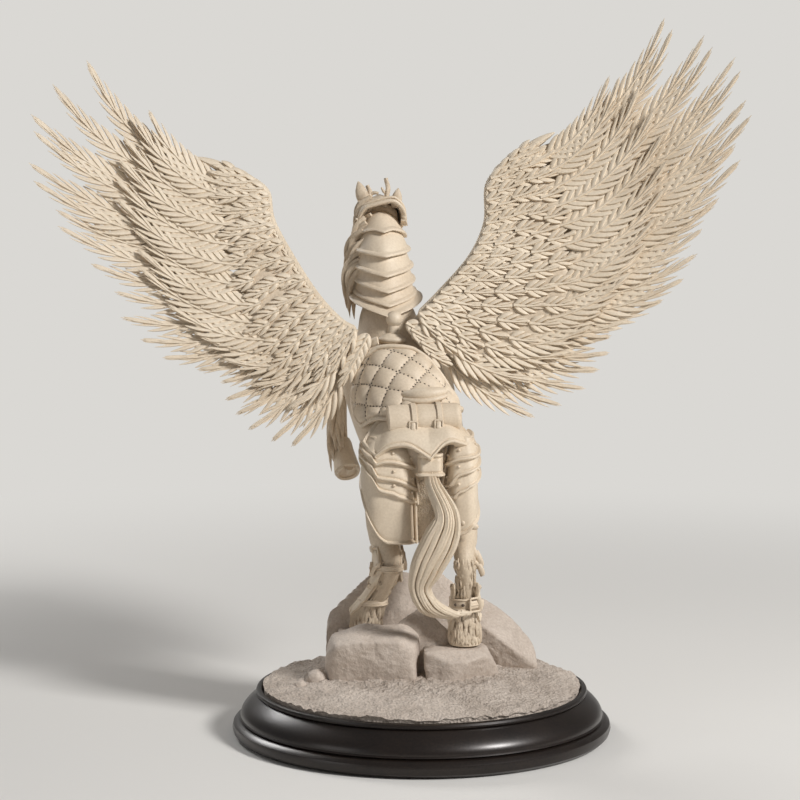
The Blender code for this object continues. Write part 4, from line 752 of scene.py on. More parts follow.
def make_mail():
    """Mail skirt between the haunches: rows of small raised rings, each row set half a ring along."""
    shape = Shape()
    drop, x = np.linspace(0, 1, 110)[:, None], np.linspace(-1, 1, 50)[None]
    line = smooth(MAIL, drop[:, 0])
    grid = np.stack([line[:, None, 0] + x * (line[:, None, 3] + 1.0),
                     line[:, None, 1] - line[:, None, 4] + 1.5 * x ** 2, line[:, None, 2] + 0 * x], -1)
    column = grid[..., 0] / RING_WIDE + 0.5 * (np.floor(grid[..., 2] / RING_TALL) % 2)
    ring = np.hypot((column % 1 - 0.5) * RING_WIDE, (grid[..., 2] / RING_TALL % 1 - 0.5) * RING_TALL)
    sheet(shape, grid, (2.7, 8, 72), 1.5, 0.8, 0.2, 0.4 * np.exp(-((ring - 0.36) / 0.14) ** 2))
    dress("mail_skirt", shape.mesh("mail"), RESIN, "pegasus_body", 35)


def saddle_edge(table, turn):
    """Share of the trunk's length at which the saddle ends, by turn in degrees."""
    return np.interp(turn, *np.asarray(table, dtype=float).T)


def make_seat():
    """Saddle seat quilted in diamonds.

    The quilt's puff is |sin(pi(a + b)) sin(pi(a - b))|^0.45, where a and b count diamonds across and along.
    """
    low, high = SADDLE_REAR[0][0], SADDLE_REAR[-1][0]
    degrees = np.linspace(low, high, 130)[None]
    along = np.linspace(0, 1, 106)[:, None]
    s = saddle_edge(SADDLE_REAR, degrees) * (1 - along) + saddle_edge(SADDLE_FRONT, degrees) * along
    turn = np.radians(degrees) + 0 * along
    base = on_trunk(s, turn, 0.0) / MM
    u = np.cumsum(np.linalg.norm(np.diff(base, axis=1, prepend=base[:, :1]), axis=-1), axis=1)
    v = np.cumsum(np.linalg.norm(np.diff(base, axis=0, prepend=base[:1]), axis=-1), axis=0)
    near = np.minimum(np.minimum(u, u[:, -1:] - u), np.minimum(v, v[-1:] - v))
    spine = on_trunk(np.linspace(0.25, 0.8, 200), 0.0, 0.0) / MM
    run = np.concatenate([[0], np.cumsum(np.linalg.norm(np.diff(spine, axis=0), axis=1))])
    a = (u - u[:, np.argmin(np.abs(degrees[0]))][:, None]) / QUILT_WIDE
    b = np.interp(s, np.linspace(0.25, 0.8, 200), run) / QUILT_LONG
    puff = np.abs(np.sin(math.pi * (a + b)) * np.sin(math.pi * (a - b))) ** 0.45
    out = 1.0 + 1.3 * puff * np.clip((near - 0.9) / 1.2, 0, 1) + 0.5 * np.clip(near / 5, 0, 1)
    shape = Shape()
    shape.plates(on_trunk(s, turn, out), on_trunk(s, turn, -0.3))
    mesh = shape.mesh("saddle")
    flat = np.stack([a, b], axis=-1).reshape(-1, 2)
    corner = np.empty(len(mesh.loops), dtype=np.int32)
    mesh.loops.foreach_get("vertex_index", corner)
    places = np.concatenate([flat, flat])[corner].astype(np.float32)
    mesh.uv_layers.new(name="quilt").data.foreach_set("uv", places.ravel())
    dress("quilted_saddle", mesh, RESIN_QUILT_HOLE_SHADE, "pegasus_body", 60)


def make_fittings():
    """Piping round the saddle's edge, a crescent cantle, the pommel plate, its knob and the yoke straps."""
    low, high = SADDLE_REAR[0][0], SADDLE_REAR[-1][0]
    shape = Shape()
    for table in (SADDLE_REAR, SADDLE_FRONT):
        around = np.linspace(low, high, 60)
        line = on_trunk(saddle_edge(table, around), np.radians(around), 1.25) / MM
        shape.tubes(sweep(np.column_stack([line, np.full((60, 2), 0.78)]), 200, 16, (0, 0.3, 1)))
    share = np.linspace(saddle_edge(SADDLE_REAR, low), saddle_edge(SADDLE_FRONT, low), 8)
    edge = on_trunk(share, math.radians(low), 1.25)
    shape.tubes(sweep(np.column_stack([edge / MM, np.full((8, 2), 0.78)]), 40, 16, (0, 1, 0)))
    bend = np.linspace(-1, 1, 40)
    bow = 1 - bend ** 2
    line = np.column_stack([1.0 + 6.6 * bend, 0.6 - 2.2 * bow, 106.8 - 0.9 * bow + 0.6 * bend])
    shape.tubes(sweep(np.column_stack([line, 0.7 + 0.35 * bow, 0.8 + 0.5 * bow]), 80, 24, (0, 0, 1)))
    line = line + np.column_stack([0 * bend, 1.6 + 0.6 * bow, 1.4 + 0.5 * bow])
    shape.tubes(sweep(np.column_stack([line, 1.0 + 1.3 * bow, 1.2 + 1.6 * bow]), 80, 24, (0, 0, 1)))
    way = sphere_directions(24, 40)
    x, y, z = POMMEL_CENTRE
    for centre, radii in ((POMMEL_CENTRE, POMMEL_RADII), ((x, y + 0.2, z + 0.5), (3.7, 2.7, 1.7)),
                          (KNOB_CENTRE, KNOB_RADII)):
        shape.tubes((np.asarray(centre) + way * np.asarray(radii)) * MM)
    shape.tubes(sweep(KNOB_POST, 20, 24))
    for side in (-1, 1):
        around = np.radians(np.linspace(side * 22 - 8, side * 74 - 4, 12))
        line = on_trunk(np.linspace(0.72, 0.75, 12), around, 1.3) / MM
        shape.tubes(sweep(np.column_stack([line, np.full(12, 1.5), np.full(12, 0.6)]), 40, 16, (0, 0.5, 1)))
    dress("saddle_fittings", shape.mesh("fittings"), RESIN, "pegasus_body", 40)


def make_bedroll():
    """Rolled blanket with slow waves along it, tucked ends, two straps round it and their buckles."""
    centre = np.array(BEDROLL_CENTRE)
    axis = unit(BEDROLL_AXIS)
    share = np.array([-0.5, -0.5, -0.485, -0.46, -0.3, -0.15, 0.0, 0.2, 0.35, 0.44, 0.48, 0.5])
    size = np.array([0.15, 0.85, 0.95, 1.0, 1.0, 0.97, 1.0, 0.97, 0.98, 0.92, 0.74, 0.25]) * BEDROLL_RADIUS
    shape = Shape()
    path = np.column_stack([centre + np.outer(share * BEDROLL_LENGTH, axis), size, size])
    shape.tubes(sweep(path, 110, 56, (0, 0, 1),
                      lambda t, a: 1 + 0.02 * np.sin(3 * a + 6 * t) + 0.012 * np.sin(40 * t)))
    dress("bedroll", shape.mesh("bedroll"), RESIN_CLOTH, "pegasus_body", 60)
    shape = Shape()
    turn = np.linspace(0, 2 * math.pi, 49)[:-1]
    up = unit(np.cross(axis, (0, 1, 0)))
    back = np.cross(axis, up)
    outward = np.cos(turn)[:, None] * up + np.sin(turn)[:, None] * back
    corners = [(-0.85, 4.6), (-0.85, 5.1), (-0.7, 5.25), (0.7, 5.25), (0.85, 5.1), (0.85, 4.6)]
    for place in (-0.15, 0.19):
        loop = [centre + axis * (place * BEDROLL_LENGTH + x) + r * outward for x, r in corners]
        n = len(corners)
        ring = np.arange(len(turn))[:, None] * n + np.arange(n)
        after = np.roll(ring, -1, axis=0)
        quads = np.stack([ring, np.roll(ring, -1, axis=1), np.roll(after, -1, axis=1), after], -1)
        quads = quads.reshape(-1, 4)
        shape.add(np.stack(loop, axis=1).reshape(1, -1, 3) * MM, [quads])
        spot = centre + axis * place * BEDROLL_LENGTH + np.array((0, -0.95, -0.2)) * 5.2
        buckle = [(-1.15, -0.3, -1.5), (1.15, -0.3, -1.5), (1.2, -0.3, 1.0), (-1.2, -0.3, 1.0)]
        buckle = spot + np.array(buckle)
        for a, b in zip(buckle, np.roll(buckle, -1, axis=0)):
            shape.tubes(sweep([(*a, 0.32, 0.32), (*b, 0.32, 0.32)], 3, 10, (0, 1, 0.3)))
        tongue = [(0, 0.2, 1.6, 0.75), (0, -0.5, -0.2, 0.7), (0, -0.7, -1.6, 0.72), (0, 0.2, -3.0, 0.6)]
        shape.tubes(sweep([(*(spot + way[:3]), way[3], 0.28) for way in tongue], 24, 14))
    dress("bedroll_straps", shape.mesh("straps"), RESIN_LEATHER, "pegasus_body", 40)


def make_tail():
    """Tail: seven ridged strands side by side along one double curve, drawn together at the tip."""
    shape = Shape()
    t = np.linspace(0, 1, 110)
    path = smooth(TAIL, t)
    along = unit(np.gradient(path[:, :3], axis=0))
    wide = unit(np.array([1.0, 0, 0]) - along * along[:, :1])
    deep = np.cross(along, wide)
    for k in range(7):
        place = (k - 3) / 3.4
        sway = place + 0.1 * np.sin(5 * t + 2 * k)
        centre = path[:, :3] + wide * (path[:, 3] * sway * 0.86)[:, None]
        bulge = 0.9 * np.sqrt(np.clip(1 - place ** 2, 0, 1)) - 0.45
        centre = centre - np.sign(deep[:, 1:2]) * deep * (path[:, 4] * bulge)[:, None]
        thick = path[:, 3] * 0.2 + 0.1
        strand = np.column_stack([centre, thick, thick * 2.2])
        shape.tubes(sweep(strand, 110, 14, (1, 0, 0), lambda s, a: 1 + 0.09 * np.cos(5 * a + 3 * s)))
    core = path.copy()
    core[:, 3:] *= 0.62
    shape.tubes(sweep(core, 60, 20))
    dress("tail_strands", shape.mesh("tail"), RESIN, "pegasus_body", 60)


def locks(shape, starts, ends, sag, widths, flat, rows, around):
    """Tapered locks of hair from starts to ends in millimetres, bowed by sag: radius sin(pi u^0.75)^0.7."""
    t = np.linspace(0, 1, rows)[None, :, None]
    centre = starts[:, None] * (1 - t) + ends[:, None] * t + sag[:, None] * 4 * t * (1 - t)
    along = unit(np.gradient(centre, axis=1))
    wide = unit(np.cross(along, (0.02, 1.0, 0.1)))
    deep = np.cross(along, wide)
    size = (widths[:, None] * np.sin(math.pi * (0.1 + 0.89 * t[..., 0]) ** 0.75) ** 0.7)[:, :, None, None]
    turn = np.linspace(0, 2 * math.pi, around, endpoint=False)[:, None]
    shape.tubes((centre[:, :, None] + wide[:, :, None] * size * np.cos(turn)
                 + deep[:, :, None] * size * flat * np.sin(turn)) * MM)


def head_grid(rows, turn):
    """Grid round the head in mm, from rows of share along it, lift across, lift above, share of turn."""
    grid = []
    for share, across, above, span in rows:
        at = smooth(HEAD, share)
        ahead = unit(smooth(HEAD, min(1.0, share + 0.02))[:3] - smooth(HEAD, max(0.0, share - 0.02))[:3])
        up = unit(np.cross((1, 0, 0), ahead))
        grid.append(at[:3] + np.outer((at[3] + across) * np.sin(turn * span), (1, 0, 0))
                    + np.outer((at[4] + above) * np.cos(turn * span), up))
    return np.array(grid)


HOOD_RIM = [(-20.6, 50, 158.5), (-20.4, 47, 161.4), (-18.4, 45.2, 164.6), (-14.7, 44.4, 166.1),
            (-9.6, 44.2, 167.2), (-7.0, 44.8, 165.9), (-5.4, 46, 163.3), (-5.0, 49, 159.0)]


def make_head_plate():
    """Head plate with a flared hood over the poll, a ridge along its middle and a double rim."""
    shape = Shape()
    turn = np.radians(np.linspace(-105, 105, 64))
    stations = [(0.0, 2.6, 0.6, 0.95), (0.08, 1.9, 0.5, 1.0), (0.18, 1.1, 0.6, 1.0),
                (0.4, 1.0, 0.9, 0.95), (0.7, 0.9, 0.9, 0.75), (0.88, 0.8, 0.8, 0.5)]
    share = np.linspace(0, 1, 56)
    grid = head_grid(smooth(stations, share), turn)
    rim = smooth(HOOD_RIM, np.linspace(0, 1, 64))
    blend = np.clip(1 - share / 0.2, 0, 1)[:, None, None] ** 1.5
    grid = grid * (1 - blend) + (rim + np.array([0, 9.0, 0]) * share[:, None, None]) * blend
    ridge = 0.7 * np.exp(-(turn[None] / 0.16) ** 2) * share[:, None] ** 0.5
    sheet(shape, grid, (-14, 56, 155), 0.9, 1.2, 0.5, ridge)
    for move, size in (((0, -0.1, 0), 0.6), ((0, 0.9, 1.15), 0.45)):
        shape.tubes(sweep(np.column_stack([rim + move, np.full((64, 2), size)]), 120, 14, (0, 1, 0)))
    dress("head_plate", shape.mesh("head_plate"), RESIN, "pegasus_body", 35)


def make_bridle():
    """Ears with a hollow front, two forked twigs between them, eyes, nostrils and bridle straps."""
    shape = Shape()
    for (base, tip), fat in zip(EARS, (2.1, 1.8)):
        base, tip = np.asarray(base), np.asarray(tip)
        line = np.array([base * (1 - t) + tip * t + np.array([0, -0.9 * math.sin(math.pi * t), 0])
                         for t in (0, 0.3, 0.6, 0.85, 1)])
        size = np.array([0.8, 1.0, 0.86, 0.45, 0.08]) * fat
        shape.tubes(sweep(
            np.column_stack([line, size, size * 0.62]), 40, 28, (1, 0, 0),
            lambda t, a: 1 - 0.3 * np.exp(-((a - math.pi / 2) / 0.5) ** 2) * np.sin(math.pi * t)))
    for twig in TWIGS:
        shape.tubes(sweep(twig, 20, 12, (0, 1, 0), lambda t, a: 1 + 0.15 * np.cos(3 * a + 9 * t)))
    spurs = [(-11.1, 51.6, 169.3, 0.6, 0.6), (-12.2, 51.4, 170.0, 0.5, 0.5), (-13.0, 51.2, 171.4, 0.3, 0.3)]
    shape.tubes(sweep(spurs, 14, 10))
    spurs = [(-17.0, 51.6, 168.9, 0.6, 0.6), (-15.4, 51.4, 169.6, 0.6, 0.6), (-14.0, 51.2, 169.4, 0.5, 0.5)]
    shape.tubes(sweep(spurs, 14, 10))
    way = sphere_directions(18, 30)
    for sign in (-1, 1):
        shape.tubes((np.array([-14.1 + sign * 5.7, 58.5, 158.6]) + way * np.array([1.0, 1.5, 1.1])) * MM)
        lid = np.linspace(0, 2 * math.pi, 17)
        line = np.column_stack([-14.1 + sign * 6.2 + 0 * lid, 58.5 + 1.7 * np.cos(lid),
                                158.6 + 1.25 * np.sin(lid)])
        shape.tubes(sweep(np.column_stack([line, np.full((17, 2), 0.34)]), 60, 10, (1, 0, 0)))
        line = np.column_stack([-16.1 + sign * (3.6 - 0.4 * np.cos(lid)), 73.6 + 0.8 * np.cos(lid),
                                142.2 + 1.1 * np.sin(lid)])
        shape.tubes(sweep(np.column_stack([line, np.full((17, 2), 0.36)]), 60, 10, (1, 0, 0)))
    for share, wide in ((0.36, 1.1), (0.72, 0.9)):
        ring = head_grid([(share, 0.25, 0.25, 1.0)], np.linspace(0, 2 * math.pi, 61))[0]
        ahead = unit(smooth(HEAD, share + 0.02)[:3] - smooth(HEAD, share - 0.02)[:3])
        strap = np.column_stack([ring, np.full(61, wide), np.full(61, 0.45)])
        shape.tubes(sweep(strap, 120, 10, tuple(ahead)))
    dress("ears_and_bridle", shape.mesh("ears"), RESIN_HIDE, "pegasus_body", 60)


def make_mane():
    """Locks of the mane, on the neck's left past the lames, and the long hair of the left foreleg."""
    random = np.random.default_rng(7)
    count = 64
    place = np.linspace(0, 1, count)
    level = 167 - 27 * place
    root = smooth(NECK_LINE, (level - NECK_LINE[0][2]) / (NECK_LINE[-1][2] - NECK_LINE[0][2]))
    out = np.interp(place, (0, 0.3, 0.7, 1.0), (0.5, 3.0, 4.4, 2.0)) + random.uniform(-0.8, 1.4, count)
    starts = np.column_stack([root[:, 0] - root[:, 3] * random.uniform(0.55, 1.0, count),
                              root[:, 1] - 1 - 5 * random.random(count), level + 2])
    ends = np.column_stack([root[:, 0] - root[:, 3] - out, root[:, 1] - 5 + 9 * random.random(count),
                            level - 9 - 4 * random.random(count)])
    shape = Shape()
    locks(shape, starts, ends, np.column_stack([-1.6 - random.random(count), 0 * place, 1.5 + 0 * place]),
          0.8 + 0.5 * random.random(count), 0.7, 12, 7)
    hair = random.uniform(0, 1, (46, 4))
    starts = np.column_stack([-25.5 - 4 * hair[:, 0], 55 + 7 * hair[:, 1], 92 + 11 * hair[:, 2]])
    ends = starts + np.column_stack([-1.4 + 2.6 * hair[:, 3], -5 - 2 * hair[:, 0], -13 - 5 * hair[:, 1]])
    locks(shape, starts, ends, np.tile([-0.8, -1.5, 0.0], (46, 1)), 0.7 + 0.5 * hair[:, 2], 0.6, 14, 8)
    dress("mane_and_hair", shape.mesh("mane"), RESIN_HIDE, "pegasus_body", 60)


def make_hooves():
    """Hind hooves under long feathering, fur on the legs, and the raised forehooves with shoes."""
    random = np.random.default_rng(3)
    hoof, fur = Shape(), Shape()
    for side in ("left", "right"):
        x, y, seat = HOOF_SEATS[side]
        seat = seat + 0.15
        line = [(x, y, seat, 4.5, 4.5), (x, y, seat + 0.4, 5.0, 5.0), (x, y, seat + 2.2, 4.8, 4.8),
                (x, y - 0.3, seat + 5, 4.3, 4.3), (x, y - 0.8, seat + 9, 3.6, 3.8)]
        hoof.tubes(sweep(line, 40, 40, (1, 0, 0), lambda t, a: 1 + 0.006 * np.sin(80 * t)))
        leg = np.asarray(HIND_LEGS[side], dtype=float)
        for count, high, low, drop, radius, widths in FUR_ROWS:
            turn = random.uniform(0, 2 * math.pi, count)
            rise = seat + random.uniform(low, high, count)
            end_rise = np.maximum(rise - drop * random.uniform(0.7, 1.2, count), seat + 0.5)
            rings = []
            for level, grow in ((rise, 0.96), (end_rise, radius)):
                order = np.argsort(leg[:, 2])
                cx, cy, wide, deep = (np.interp(level, leg[order, 2], leg[order, k]) for k in (0, 1, 3, 4))
                foot = np.clip((seat + 9 - level) / 9, 0, 1)
                cx, cy = cx * (1 - foot) + x * foot, cy * (1 - foot) + y * foot
                wide, deep = wide * (1 - foot) + 4.9 * foot, deep * (1 - foot) + 4.9 * foot
                x_end, y_end = cx + wide * grow * np.cos(turn), cy + deep * grow * np.sin(turn)
                rings.append(np.column_stack([x_end, y_end, level]))
            sag = np.column_stack([0.35 * np.cos(turn), 0.35 * np.sin(turn), 0 * turn])
            locks(fur, rings[0], rings[1], sag, widths * random.uniform(0.75, 1.25, count), 0.55, 7, 5)
        top, sole = (np.asarray(q, dtype=float) for q in FOREHOOVES[side])
        ahead = unit(sole - top)
        wide = [3.2, 3.5, 3.6, 4.2, 4.4, 4.1]
        stations = [top + (sole - top) * t for t in (0.0, 0.12, 0.35, 0.8, 0.98, 1.0)]
        hoof.tubes(sweep([(*q, w, w) for q, w in zip(stations, wide)], 40, 40))
        right = unit(np.cross(ahead, (0, 0, 1)))
        down = np.cross(right, ahead)
        arc = np.radians(np.linspace(-148, 148, 40))
        shoe = sole + ahead * 0.25 + np.outer(np.sin(arc), right) * 3.6 - np.outer(np.cos(arc), down) * 3.6
        shoe = np.column_stack([shoe, np.full(40, 0.75), np.full(40, 0.55)])
        hoof.tubes(sweep(shoe, 80, 12, tuple(ahead)))
        frog = [(*(sole + down * t + ahead * 0.1), w, w) for t, w in ((2.6, 1.3), (0.6, 0.9), (-1.4, 0.2))]
        hoof.tubes(sweep(frog, 16, 14))
    dress("hooves", hoof.mesh("hooves"), RESIN, "pegasus_body", 45)
    dress("leg_fur", fur.mesh("fur"), RESIN_HIDE, "pegasus_body", 60)


def ring_band(shape, centre, radii, height, thick):
    """Strap round a leg: a flat band swept round an upright oval, in millimetres."""
    turn = np.linspace(0, 2 * math.pi, 49)
    line = np.column_stack([centre[0] + radii[0] * np.cos(turn), centre[1] + radii[1] * np.sin(turn),
                            centre[2] + 0 * turn])
    shape.tubes(sweep(np.column_stack([line, np.full(49, height), np.full(49, thick)]), 97, 12, (0, 0, 1)))


def make_greaves():
    """Greaves on the hind legs, open on one side and with ragged edges, and lames over the left hock."""
    plates = Shape()
    for side, first, last, foot, head, radius in GREAVES:
        leg = np.asarray(HIND_LEGS[side], dtype=float)
        order = np.argsort(leg[:, 2])
        degrees = np.linspace(first, last, 64)[None]
        rise = np.linspace(0, 1, 20)[:, None]
        middle = (degrees - 90) / 128
        torn = noise(np.stack([degrees * 0.14, 0 * degrees, 0 * degrees], -1) * MM, 1.0, int(foot)) * 1.4
        low = foot + 3.0 * middle ** 2 - 2.6 * np.exp(-((np.abs(middle) - 0.9) / 0.16) ** 2) + torn
        high = head - 2.0 * (1 - middle ** 2) + 0.6 * torn
        height = low + (high - low) * rise
        x, y = (np.interp(height, leg[order, 2], leg[order, k]) for k in (0, 1))
        swell = radius + 1.1 * (1 - rise) ** 2 + 0.5 * rise ** 3
        grid = np.stack([x + swell * np.cos(np.radians(degrees)),
                         y + 0.5 + swell * 1.08 * np.sin(np.radians(degrees)), height], -1)
        sheet(plates, grid, tuple(grid.mean(axis=(0, 1)) + (0, -2, 0)), 0.8, 0.8, 0.35)
    dress("greaves", plates.mesh("greaves"), RESIN, "pegasus_body", 35)


def make_leg_straps():
    """Straps over the greaves with raised edges, the right one's buckle, dark spots of painted shade for
    its holes, and hanging tabs.
    """
    straps = Shape()
    for side, level, radii in (("right", 41.6, (4.45, 4.7)), ("left", 40.2, (4.4, 4.5)),
                               ("left", 52.8, (4.1, 4.4))):
        leg = np.asarray(HIND_LEGS[side], dtype=float)
        order = np.argsort(leg[:, 2])
        at = np.array([np.interp(level, leg[order, 2], leg[order, k]) for k in (0, 1)] + [level])
        ring_band(straps, at, radii, 1.85 if side == "right" else 0.9, 0.45)
        for edge in (-1.0, 1.0):
            rim = at + (0, 0, edge * (1.5 if side == "right" else 0.8))
            ring_band(straps, rim, np.add(radii, 0.3), 0.26, 0.3)
        if side == "right":
            belt = at
    buckle = belt + np.array((3.2, -4.2, 0.1))
    across = unit(np.array((1.0, 0.75, 0.0)))
    corners = [(-1.9, -2.1), (1.9, -2.1), (1.9, 2.1), (-1.9, 2.1), (-1.9, -2.1)]
    for a, b in list(zip(corners, corners[1:])) + [((-1.9, 0.0), (1.2, 0.0))]:
        ends = [(*(buckle + across * q[0] + (0, -0.5, q[1])), 0.42, 0.36) for q in (a, b)]
        straps.tubes(sweep(ends, 4, 12, (0, 1, 0.2)))
    tab = [(*(buckle + across * q + (0, -0.35, 0)), 1.3, 0.3) for q in (-1.7, 0, 1.6, 3.4)]
    straps.tubes(sweep(tab, 20, 12, (0, 0, 1)))
    for x, z, long, wide in TABS:
        line = [(x - 0.6, -3.2, z, 0.5, 0.3), (x, -3.8, z - long * 0.4, wide, 0.45),
                (x + 0.6, -3.4, z - long * 0.8, wide, 0.4), (x + 0.2, -3.0, z - long, 0.25, 0.15)]
        straps.tubes(sweep(line, 24, 12))
    dress("leg_straps", straps.mesh("leg_straps"), RESIN_LEATHER, "pegasus_body", 40)
    # Painted shade: dark resin spots on the right strap, where its holes lie in shadow
    holes = Shape()
    for x in (-2.9, -0.6):
        depth = -5.15 * math.sqrt(1 - (x / 4.7) ** 2)
        holes.tubes((belt + np.array([x, depth, 0]) + sphere_directions(10, 16) * (0.5, 0.28, 0.5)) * MM)
    dress("belt_hole_shade", holes.mesh("belt_hole_shade"), RESIN_HOLE_SHADE, "pegasus_body", 60)


make_skin()
make_crinet()
make_croup()
make_haunches()
make_mail()
make_seat()
make_fittings()
make_bedroll()
make_tail()
make_head_plate()
make_bridle()
make_mane()
make_hooves()
make_greaves()
make_leg_straps()


# Wings

WING_THICKNESS = 5.6
ROOT_OVERLAP = 0.25
WINGS = {
    "left": {
        "arm": [(-20.2, 126.0), (-26.9, 129.9), (-36.0, 140.3), (-47.6, 159.5), (-50.5, 170.8),
                (-61.8, 178.0)],
        "cover": [(-65.2, 173.4), (-62.4, 160.6), (-57.6, 141.7), (-53.2, 125.6), (-44.4, 114.0),
                  (-26.4, 113.9)],
        "tips": [(-108.9, 212.9), (-119.1, 205.1), (-125.4, 195.4), (-124.3, 190.0), (-125.5, 179.9),
                 (-123.8, 174.2), (-116.9, 165.0), (-116.1, 159.9), (-105.7, 147.8), (-98.2, 138.9),
                 (-96.1, 130.8), (-89.7, 123.8), (-82.8, 118.0), (-71.8, 114.0), (-64.4, 109.8),
                 (-62.8, 104.5), (-59.5, 99.8), (-55.4, 95.1), (-48.0, 91.3), (-41.6, 89.7)],
        "over": [(-88.7, 196.8), (-93.4, 195.2), (-96.5, 188.5), (-97.7, 181.3), (-98.5, 175.0),
                 (-97.7, 168.5), (-92.8, 159.3), (-91.0, 152.5), (-90.0, 146.3), (-81.3, 134.8),
                 (-72.9, 126.2), (-63.5, 117.5), (-54.5, 109.0), (-43.0, 101.5)]},
    "right": {
        "arm": [(-2.0, 130.2), (6.1, 138.1), (16.0, 149.2), (21.2, 160.5), (22.3, 173.7), (33.2, 184.2)],
        "cover": [(38.4, 181.8), (44.3, 166.0), (47.6, 148.5), (47.3, 130.4), (32.4, 118.3), (7.2, 118.6)],
        "tips": [(80.2, 226.9), (82.6, 223.2), (92.6, 221.1), (95.0, 217.2), (102.0, 213.8),
                 (103.4, 209.3), (104.9, 199.9), (106.3, 195.1), (101.1, 185.2), (102.5, 180.8),
                 (95.7, 168.7), (90.2, 158.8), (88.5, 150.9), (84.0, 143.0), (77.6, 136.3), (67.5, 130.1),
                 (61.1, 124.7), (60.4, 119.4), (57.2, 114.0), (52.6, 108.0), (45.0, 102.6), (36.4, 98.8)],
        "over": [(61.9, 208.0), (65.1, 207.6), (71.5, 204.5), (76.5, 198.0), (79.0, 189.5), (80.0, 181.0),
                 (79.0, 172.0), (76.0, 163.0), (72.5, 154.0), (67.5, 145.0), (61.5, 136.5), (55.0, 128.0),
                 (48.0, 119.5), (37.0, 110.5)]}}
# Layers of flight feathers: outline, pitches left free at the ends, width, pitches of the barbs at root and
# tip, barb length, share of the rachis that is bare, height over the mid surface
FLIGHTS = (("tips", 0.0, 9.6, (3.3, 5.2), 9.6, 0.2, -1.7), ("over", 0.35, 8.8, (3.0, 4.6), 8.8, 0.12, 0.75))
# Rows of coverts on the rear face (1) and the front face (-1): share of the chord, number
COVERT_ROWS = {1: ((0.93, 12), (0.72, 13), (0.52, 14), (0.32, 16), (0.13, 18)),
               -1: ((0.85, 11), (0.5, 13), (0.16, 14))}
# Share of the arm's thickness that its core takes up under the coverts
ARM_SHARE = 0.84
# Pitches of a covert's barbs at its root and tip, and how plump they are
COVERT_PITCHES = (2.0, 2.3)
COVERT_FAT = 2.0
# Mid surface of both wings: depth at the arm's height, lean, and curve backward past the flat middle
WING_DEPTH = 26.0
WING_LEAN = 0.35
WING_SWEEP = 0.0022
WING_CENTRE = -7.0
WING_FLAT = 15.0


def wing_point(flat, lift):
    """Point of the wing's dished mid surface, from millimetres across and up, moved back by lift."""
    out = np.maximum(np.abs(flat[..., 0] - WING_CENTRE) - WING_FLAT, 0)
    depth = WING_DEPTH + WING_LEAN * (flat[..., 1] - 128.0) - WING_SWEEP * out ** 2
    return np.stack([flat[..., 0], depth - lift, flat[..., 1]], axis=-1) * MM


def quill(base, tip, bend, t):
    """Quadratic curve from base to tip that leaves the base turned by bend radians from the chord."""
    chord = tip - base
    turned = np.array([chord[0] * math.cos(bend) - chord[1] * math.sin(bend),
                       chord[0] * math.sin(bend) + chord[1] * math.cos(bend)])
    t = np.asarray(t, dtype=float)[..., None]
    return base * (1 - t) ** 2 + 2 * (base + 0.48 * turned) * t * (1 - t) + tip * t ** 2


def left_of(line):
    """Unit directions in the sheet at right angles to a flat line of points."""
    ahead = unit(np.gradient(line, axis=-2))
    return np.stack([-ahead[..., 1], ahead[..., 0]], axis=-1)


def barbs(shape, roots, ends, middles, lifts, widths, heights):
    """Plump pointed leaves on the wing: the axis is a quadratic curve in the sheet from root to end.

    Its lift runs straight between the two lifts, and the section is an ellipse of size sin(pi u^0.8)^0.6.
    """
    u = np.linspace(0, 1, 6)[None, :, None]
    axis = roots[:, None] * (1 - u) ** 2 + 2 * middles[:, None] * u * (1 - u) + ends[:, None] * u ** 2
    size = np.sin(math.pi * np.clip(u[..., 0] * 0.93 + 0.06, 0, 0.985) ** 0.8) ** 0.6
    turn = np.linspace(0, 2 * math.pi, 6, endpoint=False)
    wide = (widths[:, None] * size)[..., None, None]
    flat = axis[:, :, None] + left_of(axis)[:, :, None] * wide * np.cos(turn)[:, None]
    lift = (lifts[:, :1] + (lifts[:, 1:] - lifts[:, :1]) * u[..., 0])[..., None]
    lift = lift + (heights[:, None] * size)[..., None] * np.sin(turn)
    shape.tubes(wing_point(flat, lift))


